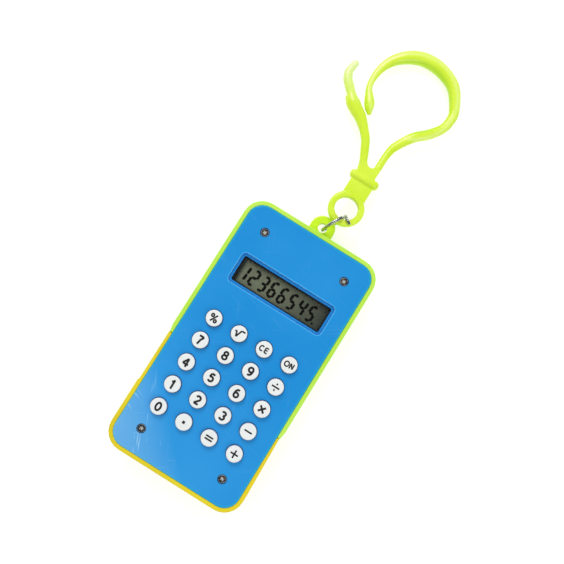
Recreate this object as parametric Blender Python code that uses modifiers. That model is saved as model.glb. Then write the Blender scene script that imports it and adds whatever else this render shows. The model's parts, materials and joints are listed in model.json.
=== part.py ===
"""Keychain calculator with a jump ring and a plastic snap hook.

The calculator lies on its back: +Z points out of the key face, +Y runs along
the case towards the hook, and +X runs across the case. The origin is the
centre of the flat back face. All sizes are in metres.
"""
import math

import bmesh
import bpy
from mathutils import Matrix, Vector

MM = 0.001

# ---------------------------------------------------------------- case sizes
CASE_WIDTH = 50.0 * MM
CASE_LENGTH = 94.6 * MM
CASE_HEIGHT = 12.0 * MM
CASE_CORNER = 6.9 * MM
BACK_WALL = 1.5 * MM
BACK_ROUND = 2.2 * MM
RIM_WIDTH = 1.45 * MM
RIM_ROUND = 0.3 * MM
LEDGE_WIDTH = 1.0 * MM
FIT_GAP = 0.3 * MM
SLIM_GAP = 0.15 * MM

# The two colours of the case meet on a slanted seam. Its places are counted up
# from the low end of the case.
SEAM_Y = 35.5 * MM - CASE_LENGTH / 2
SEAM_ANGLE = math.radians(-12.6)
UPPER_TAPER_DEPTH = 0.45 * MM
UPPER_TAPER_LENGTH = 2.6 * MM
LOWER_INSET_LEFT = 0.3 * MM
LOWER_INSET_RIGHT = 0.6 * MM
LOWER_STEP_Y = 22.7 * MM - CASE_LENGTH / 2
LOWER_FULL_Y = 9.3 * MM - CASE_LENGTH / 2
TONGUE_REACH = 2.0 * MM
TONGUE_THICK = 0.7 * MM

# --------------------------------------------------------------- front plate
PLATE_THICK = 1.8 * MM
PLATE_PROUD = 0.2 * MM
PLATE_ROUND = 0.25 * MM

# ------------------------------------------------------------ cell, contacts
# The cell lies against the top wall. The board starts just below it, and the
# display lies at the board's top end.
CELL_RADIUS = 5.8 * MM
CELL_TO_WALL = 0.45 * MM
CELL_Y = CASE_LENGTH / 2 - RIM_WIDTH - LEDGE_WIDTH - CELL_TO_WALL - CELL_RADIUS
CELL_THICK = 3.05 * MM
CELL_RIM = 0.4 * MM
CELL_BOTTOM = 2.35 * MM
POCKET_WALL = 0.7 * MM
POCKET_TOP = 3.7 * MM
CONTACT_WIDTH = 4.0 * MM
CONTACT_THICK = 0.25 * MM
CONTACT_REACH = 2.6 * MM
BOARD_TOP_Y = CELL_Y - CELL_RADIUS - 1.0 * MM

# ------------------------------------------------------------------- display
WINDOW_WIDTH = 33.8 * MM
WINDOW_HEIGHT = 9.15 * MM
DISPLAY_Y = BOARD_TOP_Y - 3.925 * MM - WINDOW_HEIGHT / 2
WINDOW_CORNER = 0.7 * MM
LENS_MARGIN = 1.15 * MM
LENS_CORNER = 1.6 * MM
LENS_THICK = 0.7 * MM
FRAME_LIP = 0.5 * MM
FRAME_LIP_THICK = 0.8 * MM
FRAME_WALL = 0.8 * MM
GLASS_MARGIN = 1.3 * MM
GLASS_THICK = 1.2 * MM
ZEBRA_DEPTH = 1.6 * MM

# ---------------------------------------------------------------------- keys
KEY_PITCH_X = 9.618 * MM
KEY_PITCH_Y = 8.365 * MM
KEYPAD_Y = 35.4 * MM - CASE_LENGTH / 2
KEY_RADIUS = 2.75 * MM
KEY_TOP_RADIUS = KEY_RADIUS - 0.25 * MM
KEY_CLEARANCE = 0.2 * MM
KEY_HEIGHT = 1.5 * MM
KEY_SHOULDER = 0.35 * MM
KEY_FLANGE_RADIUS = KEY_RADIUS + 0.65 * MM
KEY_FLANGE_THICK = 0.6 * MM
KEY_STEM_RADIUS = 1.5 * MM
KEY_TRAVEL = 0.8 * MM
KEY_STEM_CLEARANCE = 0.1 * MM
KEY_ROWS = (
    ("percent", "square_root", "clear_entry", "on"),
    ("7", "8", "9", "divide"),
    ("4", "5", "6", "times"),
    ("1", "2", "3", "minus"),
    ("0", "point", "equals", "plus"),
)

# ---------------------------------------------------------- board and keymat
BOARD_BOTTOM = 4.0 * MM
BOARD_THICK = 1.0 * MM
BOARD_WIDTH = CASE_WIDTH - 7.4 * MM
BOARD_LOW_Y = 13.7 * MM - CASE_LENGTH / 2
MAT_THICK = 0.6 * MM
DOME_HEIGHT = 1.0 * MM
DOME_RADIUS = 2.4 * MM
DOME_TOP_RADIUS = 1.7 * MM
MAT_BORDER = 3.4 * MM
CHIP_RADIUS = 5.0 * MM
CHIP_HEIGHT = 1.2 * MM
CHIP_RIM = 0.1 * MM
CHIP_Y = 2.0 * MM

# -------------------------------------------------------------------- screws
SCREW_X = CASE_WIDTH / 2 - 9.6 * MM
SCREW_Y = CASE_LENGTH / 2 - 9.65 * MM
SCREW_HEAD_RADIUS = 1.45 * MM
SCREW_HEAD_HEIGHT = 0.8 * MM
SCREW_SUNK = 0.3 * MM
SCREW_SHANK_RADIUS = 0.75 * MM
SCREW_LENGTH = 6.4 * MM
BOSS_WALL = 1.5 * MM
BOARD_SCREW_X = CASE_WIDTH / 2 - 5.4 * MM
BOARD_SCREW_HIGH_Y = DISPLAY_Y - WINDOW_HEIGHT / 2 - 6.425 * MM
BOARD_SCREW_LOW_Y = BOARD_LOW_Y + 2.4 * MM
BOARD_SCREW_HEAD_RADIUS = 1.3 * MM
BOARD_SCREW_HEAD_HEIGHT = 0.6 * MM
BOARD_SCREW_SHANK_RADIUS = 0.55 * MM
BOARD_SCREW_LENGTH = 3.1 * MM
POST_WALL = 0.85 * MM
CROSS_WIDTH = 0.5 * MM
CROSS_TIP = 0.34 * MM
CROSS_SHARE = 0.65
CROSS_DEPTH = 0.45 * MM

# ---------------------------------------------------------- lug and jump ring
LUG_RADIUS = 4.4 * MM
LUG_BOTTOM = 3.0 * MM
LUG_THICK = 2.6 * MM
LUG_ROUND = 0.5 * MM
LUG_HOLE_RADIUS = 1.65 * MM
LUG_HOLE_REACH = 2.9 * MM
RING_RADIUS = 4.5 * MM
RING_WIRE_RADIUS = 0.55 * MM
RING_CENTRE_Z = 5.6 * MM
RING_TURN = math.radians(27.2)
RING_START = Vector((0.3 * MM, -0.55 * MM))
RING_GAP_TURN = 50
RING_LAST_TURN = 380
# The far end is bent aside: each step is (along, up, aside), in millimetres.
RING_BEND = (
    (4.28, 2.2, 0.1), (4.1, 2.9, 0.45), (3.95, 3.5, 1.1), (3.85, 3.85, 1.9),
    (3.75, 3.95, 2.7), (3.65, 3.95, 3.4),
)

# ---------------------------------------------------------------- snap hook
# The hook is drawn flat in its own frame: origin at the centre of its eye,
# +Y along its axis. It leans down from the eye until its far end rests on
# the surface that the calculator lies on.
EYE_OFFSET = Vector((3.3 * MM, 12.45 * MM))
EYE_Z = 7.1 * MM
EYE_RADIUS = 6.3 * MM
EYE_HOLE_RADIUS = 4.0 * MM
EYE_THICK = 2.6 * MM
EYE_ROUND = 0.75 * MM
EYE_STEPS = 36
NECK_HALF_WIDTH = 4.2 * MM
NECK_THICK = 1.8 * MM
COLLAR_Y = 12.1 * MM
COLLAR_HALF_WIDTH = 5.4 * MM
COLLAR_RADIUS = 1.45 * MM
COLLAR_THICK = 4.0 * MM
FORK_THICK = 3.0 * MM
ARM_FLATNESS = 0.84
FLOOR_GAP = 0.05 * MM
GATE_HINGE = Vector((-3.45 * MM, 17.1 * MM))
# The fork's web is drawn from the collar up: (x, y, corner radius), in millimetres.
FORK_EDGE = (
    (3.25, 18.0, 0.0), (0.9, 18.6, 0.0), (-0.7, 16.4, 0.6), (-2.2, 16.9, 0.0), (-4.7, 15.2, 0.0),
)
FORK_FOOT = Vector((-4.3 * MM, 3.3 * MM))
# Each station of an arm is (x, y, width), in millimetres.
LOOP_STATIONS = (
    (1.6, 14.6, 2.9), (2.0, 18.4, 2.6), (2.1, 23.4, 2.65), (3.0, 27.9, 3.15),
    (6.6, 34.2, 3.6), (10.5, 38.1, 3.7), (13.6, 42.4, 3.4), (14.6, 46.2, 3.4),
    (14.2, 50.4, 3.7), (10.3, 57.2, 4.5), (5.8, 60.2, 5.0), (0.4, 61.6, 5.3),
    (-4.8, 61.2, 5.2), (-9.3, 59.0, 4.8), (-13.1, 55.3, 4.0), (-15.2, 51.1, 3.2),
    (-16.0, 46.9, 2.6), (-15.9, 43.4, 2.2), (-15.2, 41.0, 2.4), (-13.9, 38.9, 3.1),
    (-12.6, 36.9, 3.7), (-11.6, 35.0, 3.1), (-10.9, 33.8, 1.9),
)
GATE_STATIONS = (
    (-3.45, 17.1, 2.7), (-5.1, 21.0, 3.0), (-7.0, 24.8, 3.15), (-9.4, 27.7, 3.4),
    (-12.5, 30.6, 4.2), (-15.2, 32.3, 4.7), (-17.7, 33.9, 5.0), (-19.6, 36.3, 3.4),
    (-21.8, 38.5, 3.4), (-23.6, 40.6, 3.2), (-24.4, 43.2, 3.0), (-23.7, 46.2, 2.6),
)

# --------------------------------------------------------- level of each deck
PLATE_TOP = CASE_HEIGHT + PLATE_PROUD
PLATE_BOTTOM = PLATE_TOP - PLATE_THICK
LEDGE_Z = PLATE_BOTTOM - FIT_GAP
BOARD_TOP = BOARD_BOTTOM + BOARD_THICK
MAT_BOTTOM = BOARD_TOP + FIT_GAP
MAT_TOP = MAT_BOTTOM + MAT_THICK
DOME_TOP = MAT_TOP + DOME_HEIGHT
FLANGE_TOP = PLATE_BOTTOM - FIT_GAP
FRAME_TOP = PLATE_BOTTOM - FIT_GAP
FRAME_BOTTOM = BOARD_TOP + FIT_GAP
GLASS_TOP = FRAME_TOP - FRAME_LIP_THICK - FIT_GAP
GLASS_BOTTOM = GLASS_TOP - GLASS_THICK
LENS_SEAT_Z = PLATE_TOP - LENS_THICK - SLIM_GAP
SCREW_HEAD_TOP = PLATE_TOP - SCREW_SUNK
SCREW_SEAT_Z = SCREW_HEAD_TOP - SCREW_HEAD_HEIGHT - SLIM_GAP
LUG_TOP = LUG_BOTTOM + LUG_THICK
CASE_TOP_Y = CASE_LENGTH / 2
LUG_HOLE_Y = CASE_TOP_Y + LUG_HOLE_REACH
WALL_INSET = RIM_WIDTH + LEDGE_WIDTH
ROUND_STEPS = 20
KEY_STEPS = 16
SMALL_STEPS = 12
DOME_STEPS = 8

collection = None
cutters = None


# ------------------------------------------------------------- scene helpers
def clear_scene():
    """Remove every object, then make one collection for parts, one for cutters."""
    global collection, cutters
    for old in list(bpy.data.objects):
        bpy.data.objects.remove(old, do_unlink=True)
    collection = bpy.data.collections.new("keychain_calculator")
    cutters = bpy.data.collections.new("cutters")
    bpy.context.scene.collection.children.link(collection)
    bpy.context.scene.collection.children.link(cutters)


def material(name, color, roughness, metallic=0.0, alpha=1.0):
    """A Principled material with one colour."""
    made = bpy.data.materials.new(name)
    made.use_nodes = True
    shader = made.node_tree.nodes["Principled BSDF"]
    shader.inputs["Base Color"].default_value = (*color, 1.0)
    shader.inputs["Roughness"].default_value = roughness
    shader.inputs["Metallic"].default_value = metallic
    shader.inputs["Alpha"].default_value = alpha
    return made


def finish_part(part, name, finish):
    """Name a part, give it its material and shade its round faces smooth."""
    part.name = name
    part.data.name = name
    part.data.materials.clear()
    part.data.materials.append(finish)
    part.data.shade_smooth()
    part.data.set_sharp_from_angle(angle=math.radians(35))
    return part


def make_cutter(part, name):
    """Move a solid to the cutters, so that it shapes others and isn't built."""
    part.name = name
    part.data.name = name
    collection.objects.unlink(part)
    cutters.objects.link(part)
    part.hide_render = True
    part.display_type = "WIRE"
    return part


def boolean(part, tool, operation):
    """Add an exact Boolean of the part with a helper solid."""
    step = part.modifiers.new(tool.name, "BOOLEAN")
    step.operation = operation
    step.solver = "EXACT"
    step.object = tool
    return step


def cut(part, tool, name):
    boolean(part, make_cutter(tool, name), "DIFFERENCE")


def join(part, tool, name):
    boolean(part, make_cutter(tool, name), "UNION")


def solid_from_curve(source):
    """Turn a filled curve into a closed mesh object in the parts collection."""
    collection.objects.link(source)
    graph = bpy.context.evaluated_depsgraph_get()
    graph.update()
    mesh = bpy.data.meshes.new_from_object(source.evaluated_get(graph))
    work = bmesh.new()
    work.from_mesh(mesh)
    bmesh.ops.remove_doubles(work, verts=work.verts, dist=0.001 * MM)
    bmesh.ops.recalc_face_normals(work, faces=work.faces)
    work.to_mesh(mesh)
    work.free()
    solid = bpy.data.objects.new(source.name, mesh)
    solid.matrix_world = source.matrix_world
    collection.objects.link(solid)
    curve = source.data
    bpy.data.objects.remove(source, do_unlink=True)
    bpy.data.curves.remove(curve)
    return solid


# ------------------------------------------------------------- shape helpers
def rounded(corners, steps=6):
    """Outline points of a polygon whose corners (x, y, radius) are arcs."""
    points = []
    count = len(corners)
    for index, (x, y, radius) in enumerate(corners):
        here = Vector((x, y))
        if radius <= 0:
            points.append(here)
            continue
        to_last = (Vector(corners[index - 1][:2]) - here).normalized()
        to_next = (Vector(corners[(index + 1) % count][:2]) - here).normalized()
        half = to_last.angle(to_next) / 2
        centre = here + (to_last + to_next).normalized() * radius / math.sin(half)
        first = here + to_last * radius / math.tan(half) - centre
        last = here + to_next * radius / math.tan(half) - centre
        sweep = first.angle_signed(last)
        for step in range(steps + 1):
            turn = Matrix.Rotation(-sweep * step / steps, 2)
            points.append(centre + turn @ first)
    return points


def rectangle(width, height, radius, centre=(0.0, 0.0), steps=6):
    """Outline of a rounded rectangle."""
    x, y = centre
    return rounded([
        (x - width / 2, y - height / 2, radius), (x + width / 2, y - height / 2, radius),
        (x + width / 2, y + height / 2, radius), (x - width / 2, y + height / 2, radius),
    ], steps)


def circle(radius, centre=(0.0, 0.0), steps=ROUND_STEPS):
    """Outline of a circle."""
    turns = [2 * math.pi * step / steps for step in range(steps)]
    return [Vector((centre[0] + radius * math.cos(a), centre[1] + radius * math.sin(a)))
            for a in turns]


def prism(name, outlines, bottom, top):
    """A flat-ended solid between two heights; inner outlines become holes."""
    curve = bpy.data.curves.new(name, "CURVE")
    curve.dimensions = "2D"
    curve.fill_mode = "BOTH"
    curve.extrude = (top - bottom) / 2
    for outline in outlines:
        spline = curve.splines.new("POLY")
        spline.points.add(len(outline) - 1)
        for point, place in zip(spline.points, outline):
            point.co = (place[0], place[1], 0.0, 1.0)
        spline.use_cyclic_u = True
    source = bpy.data.objects.new(name, curve)
    source.location.z = (top + bottom) / 2
    source.matrix_world = Matrix.Translation((0.0, 0.0, (top + bottom) / 2))
    solid = solid_from_curve(source)
    solid.data.transform(solid.matrix_world)
    solid.matrix_world = Matrix.Identity(4)
    return solid


def round_rim(part, height, radius, segments=2):
    """Round the outer edge that lies at one height of a solid with whole caps."""
    work = bmesh.new()
    work.from_mesh(part.data)
    flat = [f for f in work.faces
            if all(abs(v.co.z - height) < 0.01 * MM for v in f.verts)]
    if len(flat) > 1:
        bmesh.ops.dissolve_faces(work, faces=flat)
    edges = [e for e in work.edges
             if all(abs(v.co.z - height) < 0.01 * MM for v in e.verts)]
    bmesh.ops.bevel(work, geom=edges, offset=radius, offset_type="OFFSET",
                    segments=segments, profile=0.5, affect="EDGES")
    work.to_mesh(part.data)
    work.free()


def turned(name, profile, centre=(0.0, 0.0), steps=ROUND_STEPS):
    """A solid of revolution about +Z; the profile runs from its top down."""
    mesh = bpy.data.meshes.new(name)
    edges = [(index, index + 1) for index in range(len(profile) - 1)]
    mesh.from_pydata([(r, 0.0, z) for r, z in profile], edges, [])
    part = bpy.data.objects.new(name, mesh)
    part.location = (centre[0], centre[1], 0.0)
    collection.objects.link(part)
    screw = part.modifiers.new("turn", "SCREW")
    screw.axis = "Z"
    screw.steps = steps
    screw.render_steps = steps
    screw.use_merge_vertices = True
    screw.merge_threshold = 0.00001
    return part


def catmull_rom(stations, parts=4):
    """Points of a smooth curve through the stations, evenly spaced in each span."""
    ends = [2 * stations[0] - stations[1], *stations, 2 * stations[-1] - stations[-2]]
    points = []
    for a, b, c, d in zip(ends, ends[1:], ends[2:], ends[3:]):
        for step in range(parts):
            t = step / parts
            points.append(0.5 * (2 * b + (c - a) * t + (2 * a - 5 * b + 4 * c - d) * t ** 2
                                 + (3 * b - a - 3 * c + d) * t ** 3))
    points.append(stations[-1].copy())
    return points


def tube(name, path, radii, resolution=2):
    """A round tube along a path, with a radius for every point."""
    curve = bpy.data.curves.new(name, "CURVE")
    curve.dimensions = "3D"
    curve.bevel_depth = 1.0
    curve.bevel_resolution = resolution
    curve.use_fill_caps = True
    spline = curve.splines.new("POLY")
    spline.points.add(len(path) - 1)
    for point, place, radius in zip(spline.points, path, radii):
        point.co = (*place, 1.0)
        point.radius = radius
    return solid_from_curve(bpy.data.objects.new(name, curve))


def arm(name, stations, parts=3):
    """A flattened tube through (x, y, width) stations, with rounded ends."""
    points = catmull_rom([Vector(s) * MM for s in stations], parts)
    path = [Vector((p.x, p.y, 0.0)) for p in points]
    radii = [p.z / 2 for p in points]
    for end, inner in ((0, 1), (-1, -2)):
        tip = path[end].copy()
        away = (path[end] - path[inner]).normalized()
        reach = radii[end]
        for share in (0.45, 0.8, 0.97):
            place = tip + away * reach * share
            radius = reach * math.sqrt(1 - share * share)
            if end == 0:
                path.insert(0, place)
                radii.insert(0, radius)
            else:
                path.append(place)
                radii.append(radius)
    solid = tube(name, path, radii)
    solid.data.transform(Matrix.Scale(ARM_FLATNESS, 4, (0.0, 0.0, 1.0)))
    return solid


def seam_y(x):
    """Height of the slanted seam at one place across the case."""
    return SEAM_Y + x * math.tan(SEAM_ANGLE)


# --------------------------------------------------------------------- case
def full_outline(inset):
    """The case's outline, moved inwards by a wall."""
    return rectangle(CASE_WIDTH - 2 * inset, CASE_LENGTH - 2 * inset, CASE_CORNER - inset)


def upper_outline():
    """Outline of the upper case, tapered in where it meets the seam."""
    half = CASE_WIDTH / 2
    near = half - UPPER_TAPER_DEPTH
    gap = SLIM_GAP / 2
    left = seam_y(-near) + gap
    right = seam_y(near) + gap
    return rounded([
        (-near, left, 0), (near, right, 0), (half, right + UPPER_TAPER_LENGTH, 0),
        (half, CASE_TOP_Y, CASE_CORNER), (-half, CASE_TOP_Y, CASE_CORNER),
        (-half, left + UPPER_TAPER_LENGTH, 0),
    ])


def lower_outline():
    """Outline of the lower case, set in beside the seam on both sides."""
    half = CASE_WIDTH / 2
    near_left = half - LOWER_INSET_LEFT
    near_right = half - LOWER_INSET_RIGHT
    gap = SLIM_GAP / 2
    return rounded([
        (-half, -CASE_TOP_Y, CASE_CORNER), (half, -CASE_TOP_Y, CASE_CORNER),
        (half, LOWER_FULL_Y, 0), (near_right, seam_y(near_right) - gap, 0),
        (-near_left, seam_y(-near_left) - gap, 0), (-near_left, LOWER_STEP_Y, 0),
        (-half, LOWER_STEP_Y - LOWER_INSET_LEFT, 0),
    ])


def tray(name, outline):
    """A case half: its outline with rounded edges, hollowed from the front."""
    shell = prism(name, [outline], 0.0, CASE_HEIGHT)
    round_rim(shell, 0.0, BACK_ROUND, 3)
    round_rim(shell, CASE_HEIGHT, RIM_ROUND, 2)
    inside = prism("inside", [full_outline(WALL_INSET)], BACK_WALL, CASE_HEIGHT + FIT_GAP)
    cut(shell, inside, name + "_inside")
    rebate = prism("rebate", [full_outline(RIM_WIDTH)], LEDGE_Z, CASE_HEIGHT + FIT_GAP)
    cut(shell, rebate, name + "_rebate")
    return shell


def seam_band(name, low, high, inset, bottom, top):
    """The part of the walls beside the seam, between two distances from it."""
    band = prism(name, [full_outline(inset)], bottom, top)
    half = CASE_WIDTH
    strip = [Vector((-half, seam_y(-half) + low)), Vector((half, seam_y(half) + low)),
             Vector((half, seam_y(half) + high)), Vector((-half, seam_y(-half) + high))]
    keep = prism(name + "_strip", [strip], bottom - MM, top + MM)
    boolean(band, make_cutter(keep, name + "_strip"), "INTERSECT")
    return band


def tongue(shell):
    """A thin lip on the lower case that slides inside the upper case's walls."""
    top = LEDGE_Z - FIT_GAP
    inset = WALL_INSET - TONGUE_THICK
    band = seam_band("tongue", -MM, TONGUE_REACH, inset, BACK_WALL - TONGUE_THICK, top)
    hollow = prism("tongue_hollow", [full_outline(WALL_INSET)], BACK_WALL, top + MM)
    cut(band, hollow, "tongue_hollow")
    join(shell, band, "tongue")


def tongue_slot(shell):
    """The rebate in the upper case that takes the tongue, with its clearance."""
    inset = WALL_INSET - TONGUE_THICK - SLIM_GAP
    floor = BACK_WALL - TONGUE_THICK - SLIM_GAP
    slot = seam_band("tongue_slot", -MM, TONGUE_REACH + FIT_GAP, inset, floor, LEDGE_Z)
    cut(shell, slot, "tongue_slot")


def add_bosses(shell, side):
    """Two tall bosses for the case screws and two posts for the board screws."""
    root = BACK_WALL / 2
    boss_radius = SCREW_SHANK_RADIUS + SLIM_GAP + BOSS_WALL
    post_radius = BOARD_SCREW_SHANK_RADIUS + SLIM_GAP + POST_WALL
    post_y = BOARD_SCREW_HIGH_Y if side > 0 else BOARD_SCREW_LOW_Y
    for sign in (-1, 1):
        tag = ("left" if sign < 0 else "right") + ("_upper" if side > 0 else "_lower")
        screw_at = (sign * SCREW_X, side * SCREW_Y)
        post_at = (sign * BOARD_SCREW_X, post_y)
        boss = prism("boss", [circle(boss_radius, screw_at)], root, LEDGE_Z)
        join(shell, boss, "boss_" + tag)
        post = prism("post", [circle(post_radius, post_at, SMALL_STEPS)],
                     root, BOARD_BOTTOM - FIT_GAP)
        join(shell, post, "post_" + tag)
        low = SCREW_HEAD_TOP - SCREW_HEAD_HEIGHT - SCREW_LENGTH - FIT_GAP
        bore = circle(SCREW_SHANK_RADIUS + SLIM_GAP, screw_at, SMALL_STEPS)
        cut(shell, prism("hole", [bore], low, CASE_HEIGHT), "boss_hole_" + tag)
        low = BOARD_TOP - BOARD_SCREW_LENGTH
        bore = circle(BOARD_SCREW_SHANK_RADIUS + SLIM_GAP, post_at, SMALL_STEPS)
        cut(shell, prism("hole", [bore], low, BOARD_TOP), "post_hole_" + tag)


def add_lug(shell):
    """The rounded lug on the top edge that carries the jump ring."""
    root = CASE_TOP_Y - WALL_INSET / 2
    end = [p for p in circle(LUG_RADIUS, (0.0, LUG_HOLE_Y)) if p.y > LUG_HOLE_Y - 0.01 * MM]
    outline = [Vector((-LUG_RADIUS, root)), Vector((LUG_RADIUS, root))] + end
    lug = prism("lug", [outline], LUG_BOTTOM, LUG_TOP)
    round_rim(lug, LUG_BOTTOM, LUG_ROUND)
    round_rim(lug, LUG_TOP, LUG_ROUND)
    join(shell, lug, "lug")
    hole = prism("hole", [circle(LUG_HOLE_RADIUS, (0.0, LUG_HOLE_Y))],
                 LUG_BOTTOM - MM, LUG_TOP + MM)
    cut(shell, hole, "lug_hole")


def add_cell_pocket(shell):
    """A round rib on the back wall that holds the cell, slotted for its contact."""
    inner = CELL_RADIUS + FIT_GAP
    rib = prism("rib", [circle(inner + POCKET_WALL, (0.0, CELL_Y)), circle(inner, (0.0, CELL_Y))],
                BACK_WALL / 2, POCKET_TOP)
    half = CONTACT_WIDTH / 2 + FIT_GAP
    slot_y = CELL_Y - inner
    slot = prism("slot", [rectangle(2 * half, 4 * POCKET_WALL, 0.0, (0.0, slot_y))],
                 0.0, POCKET_TOP + MM)
    cut(rib, slot, "pocket_slot")
    join(shell, rib, "pocket")


def build_case(green, yellow):
    upper = tray("upper_case", upper_outline())
    tongue_slot(upper)
    add_cell_pocket(upper)
    add_bosses(upper, 1)
    add_lug(upper)
    finish_part(upper, "upper_case", green)
    lower = tray("lower_case", lower_outline())
    tongue(lower)
    add_bosses(lower, -1)
    finish_part(lower, "lower_case", yellow)


# -------------------------------------------------------------------- plate
def key_places():
    """Every key's name and its centre on the plate."""
    for row, names in enumerate(KEY_ROWS):
        for column, name in enumerate(names):
            x = (column - 1.5) * KEY_PITCH_X
            y = KEYPAD_Y + (2 - row) * KEY_PITCH_Y
            yield name, (x, y)


def screw_places():
    """Every case screw's name and its place."""
    for sign_y, end in ((1, "upper"), (-1, "lower")):
        for sign_x, side in ((-1, "left"), (1, "right")):
            yield end + "_" + side, (sign_x * SCREW_X, sign_y * SCREW_Y)


def build_plate(blue):
    """The front plate with its key holes, window, lens seat and screw seats."""
    inset = RIM_WIDTH + SLIM_GAP
    plate = prism("front_plate", [full_outline(inset)], PLATE_BOTTOM, PLATE_TOP)
    round_rim(plate, PLATE_TOP, PLATE_ROUND)
    below, above = PLATE_BOTTOM - MM, PLATE_TOP + MM
    holes = [circle(KEY_RADIUS + KEY_CLEARANCE, place, KEY_STEPS) for _, place in key_places()]
    holes.append(rectangle(WINDOW_WIDTH, WINDOW_HEIGHT, WINDOW_CORNER, (0.0, DISPLAY_Y), 3))
    cut(plate, prism("openings", holes, below, above), "plate_openings")
    seat = rectangle(WINDOW_WIDTH + 2 * LENS_MARGIN, WINDOW_HEIGHT + 2 * LENS_MARGIN,
                     LENS_CORNER, (0.0, DISPLAY_Y), 4)
    cut(plate, prism("lens_seat", [seat], LENS_SEAT_Z, above), "lens_seat")
    seats = [circle(SCREW_HEAD_RADIUS + SLIM_GAP, place) for _, place in screw_places()]
    cut(plate, prism("seats", seats, SCREW_SEAT_Z, above), "screw_seats")
    shanks = [circle(SCREW_SHANK_RADIUS + SLIM_GAP, place, SMALL_STEPS)
              for _, place in screw_places()]
    cut(plate, prism("shanks", shanks, below, above), "screw_ways")
    finish_part(plate, "front_plate", blue)


# ------------------------------------------------------------------ display
def display_box(margin, radius, steps=3):
    """Outline of a rounded rectangle round the window."""
    return rectangle(WINDOW_WIDTH + 2 * margin, WINDOW_HEIGHT + 2 * margin, radius,
                     (0.0, DISPLAY_Y), steps)


def build_display(clear, black, glass, rubber):
    margin = LENS_MARGIN - SLIM_GAP
    lens = prism("display_window", [display_box(margin, LENS_CORNER - SLIM_GAP, 4)],
                 PLATE_TOP - LENS_THICK, PLATE_TOP)
    round_rim(lens, PLATE_TOP, SLIM_GAP)
    finish_part(lens, "display_window", clear)
    room = GLASS_MARGIN + FIT_GAP
    frame = prism("lcd_frame", [display_box(room + FRAME_WALL, LENS_CORNER)],
                  FRAME_BOTTOM, FRAME_TOP)
    well = prism("well", [display_box(room, FIT_GAP)], FRAME_BOTTOM - MM,
                 FRAME_TOP - FRAME_LIP_THICK)
    cut(frame, well, "frame_well")
    view = prism("view", [display_box(-FRAME_LIP, FRAME_LIP)], FRAME_BOTTOM, FRAME_TOP + MM)
    cut(frame, view, "frame_view")
    finish_part(frame, "lcd_frame", black)
    pane = prism("lcd_glass", [display_box(GLASS_MARGIN, 0.0)], GLASS_BOTTOM, GLASS_TOP)
    finish_part(pane, "lcd_glass", glass)
    strip_y = DISPLAY_Y + WINDOW_HEIGHT / 2 + GLASS_MARGIN - ZEBRA_DEPTH
    strip = prism("zebra_strip", [rectangle(WINDOW_WIDTH, ZEBRA_DEPTH, 0.0, (0.0, strip_y))],
                  BOARD_TOP + FIT_GAP, GLASS_BOTTOM - FIT_GAP)
    finish_part(strip, "zebra_strip", rubber)


# --------------------------------------------------------------------- keys
def build_keys(white):
    """Twenty turned key caps, each held under the plate by its flange."""
    top = PLATE_TOP + KEY_HEIGHT
    foot = DOME_TOP + KEY_TRAVEL + KEY_STEM_CLEARANCE
    step = KEY_RADIUS - KEY_TOP_RADIUS
    profile = [
        (0.0, top), (KEY_TOP_RADIUS, top), (KEY_TOP_RADIUS + 0.7 * step, top - 0.3 * KEY_SHOULDER),
        (KEY_RADIUS, top - KEY_SHOULDER), (KEY_RADIUS, FLANGE_TOP),
        (KEY_FLANGE_RADIUS, FLANGE_TOP), (KEY_FLANGE_RADIUS, FLANGE_TOP - KEY_FLANGE_THICK),
        (KEY_STEM_RADIUS, FLANGE_TOP - KEY_FLANGE_THICK), (KEY_STEM_RADIUS, foot), (0.0, foot),
    ]
    for name, place in key_places():
        finish_part(turned("key_" + name, profile, place, KEY_STEPS), "key_" + name, white)


def build_mat(rubber):
    """The rubber mat: a sheet on the board with one dome under each key."""
    width = 3 * KEY_PITCH_X + 2 * MAT_BORDER
    height = 4 * KEY_PITCH_Y + 2 * MAT_BORDER
    sheet = prism("key_mat", [rectangle(width, height, MM, (0.0, KEYPAD_Y), 3)],
                  MAT_BOTTOM, MAT_TOP)
    base = MAT_TOP - MAT_THICK / 2
    flare = (DOME_RADIUS - DOME_TOP_RADIUS) * (DOME_TOP - base) / DOME_HEIGHT
    profile = [(0.0, DOME_TOP), (DOME_TOP_RADIUS, DOME_TOP),
               (DOME_TOP_RADIUS + flare, base), (0.0, base)]
    for name, place in key_places():
        join(sheet, turned("dome", profile, place, DOME_STEPS), "dome_" + name)
    finish_part(sheet, "key_mat", rubber)


# -------------------------------------------------------- board, cell, contacts
def build_board(laminate, resin):
    centre_y = (BOARD_TOP_Y + BOARD_LOW_Y) / 2
    height = BOARD_TOP_Y - BOARD_LOW_Y
    outlines = [rectangle(BOARD_WIDTH, height, MM, (0.0, centre_y), 3)]
    for place in board_screw_places().values():
        outlines.append(circle(BOARD_SCREW_SHANK_RADIUS + SLIM_GAP, place, SMALL_STEPS))
    board = prism("circuit_board", outlines, BOARD_BOTTOM, BOARD_TOP)
    finish_part(board, "circuit_board", laminate)
    top = BOARD_BOTTOM - FIT_GAP
    turns = [math.radians(a) for a in (0, 22, 45, 67, 90)]
    profile = [(0.0, top), (CHIP_RADIUS, top)]
    profile += [(CHIP_RADIUS * math.cos(a), top - CHIP_RIM - (CHIP_HEIGHT - CHIP_RIM) * math.sin(a))
                for a in turns[:-1]]
    profile.append((0.0, top - CHIP_HEIGHT))
    finish_part(turned("chip_cover", profile, (0.0, CHIP_Y)), "chip_cover", resin)


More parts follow.
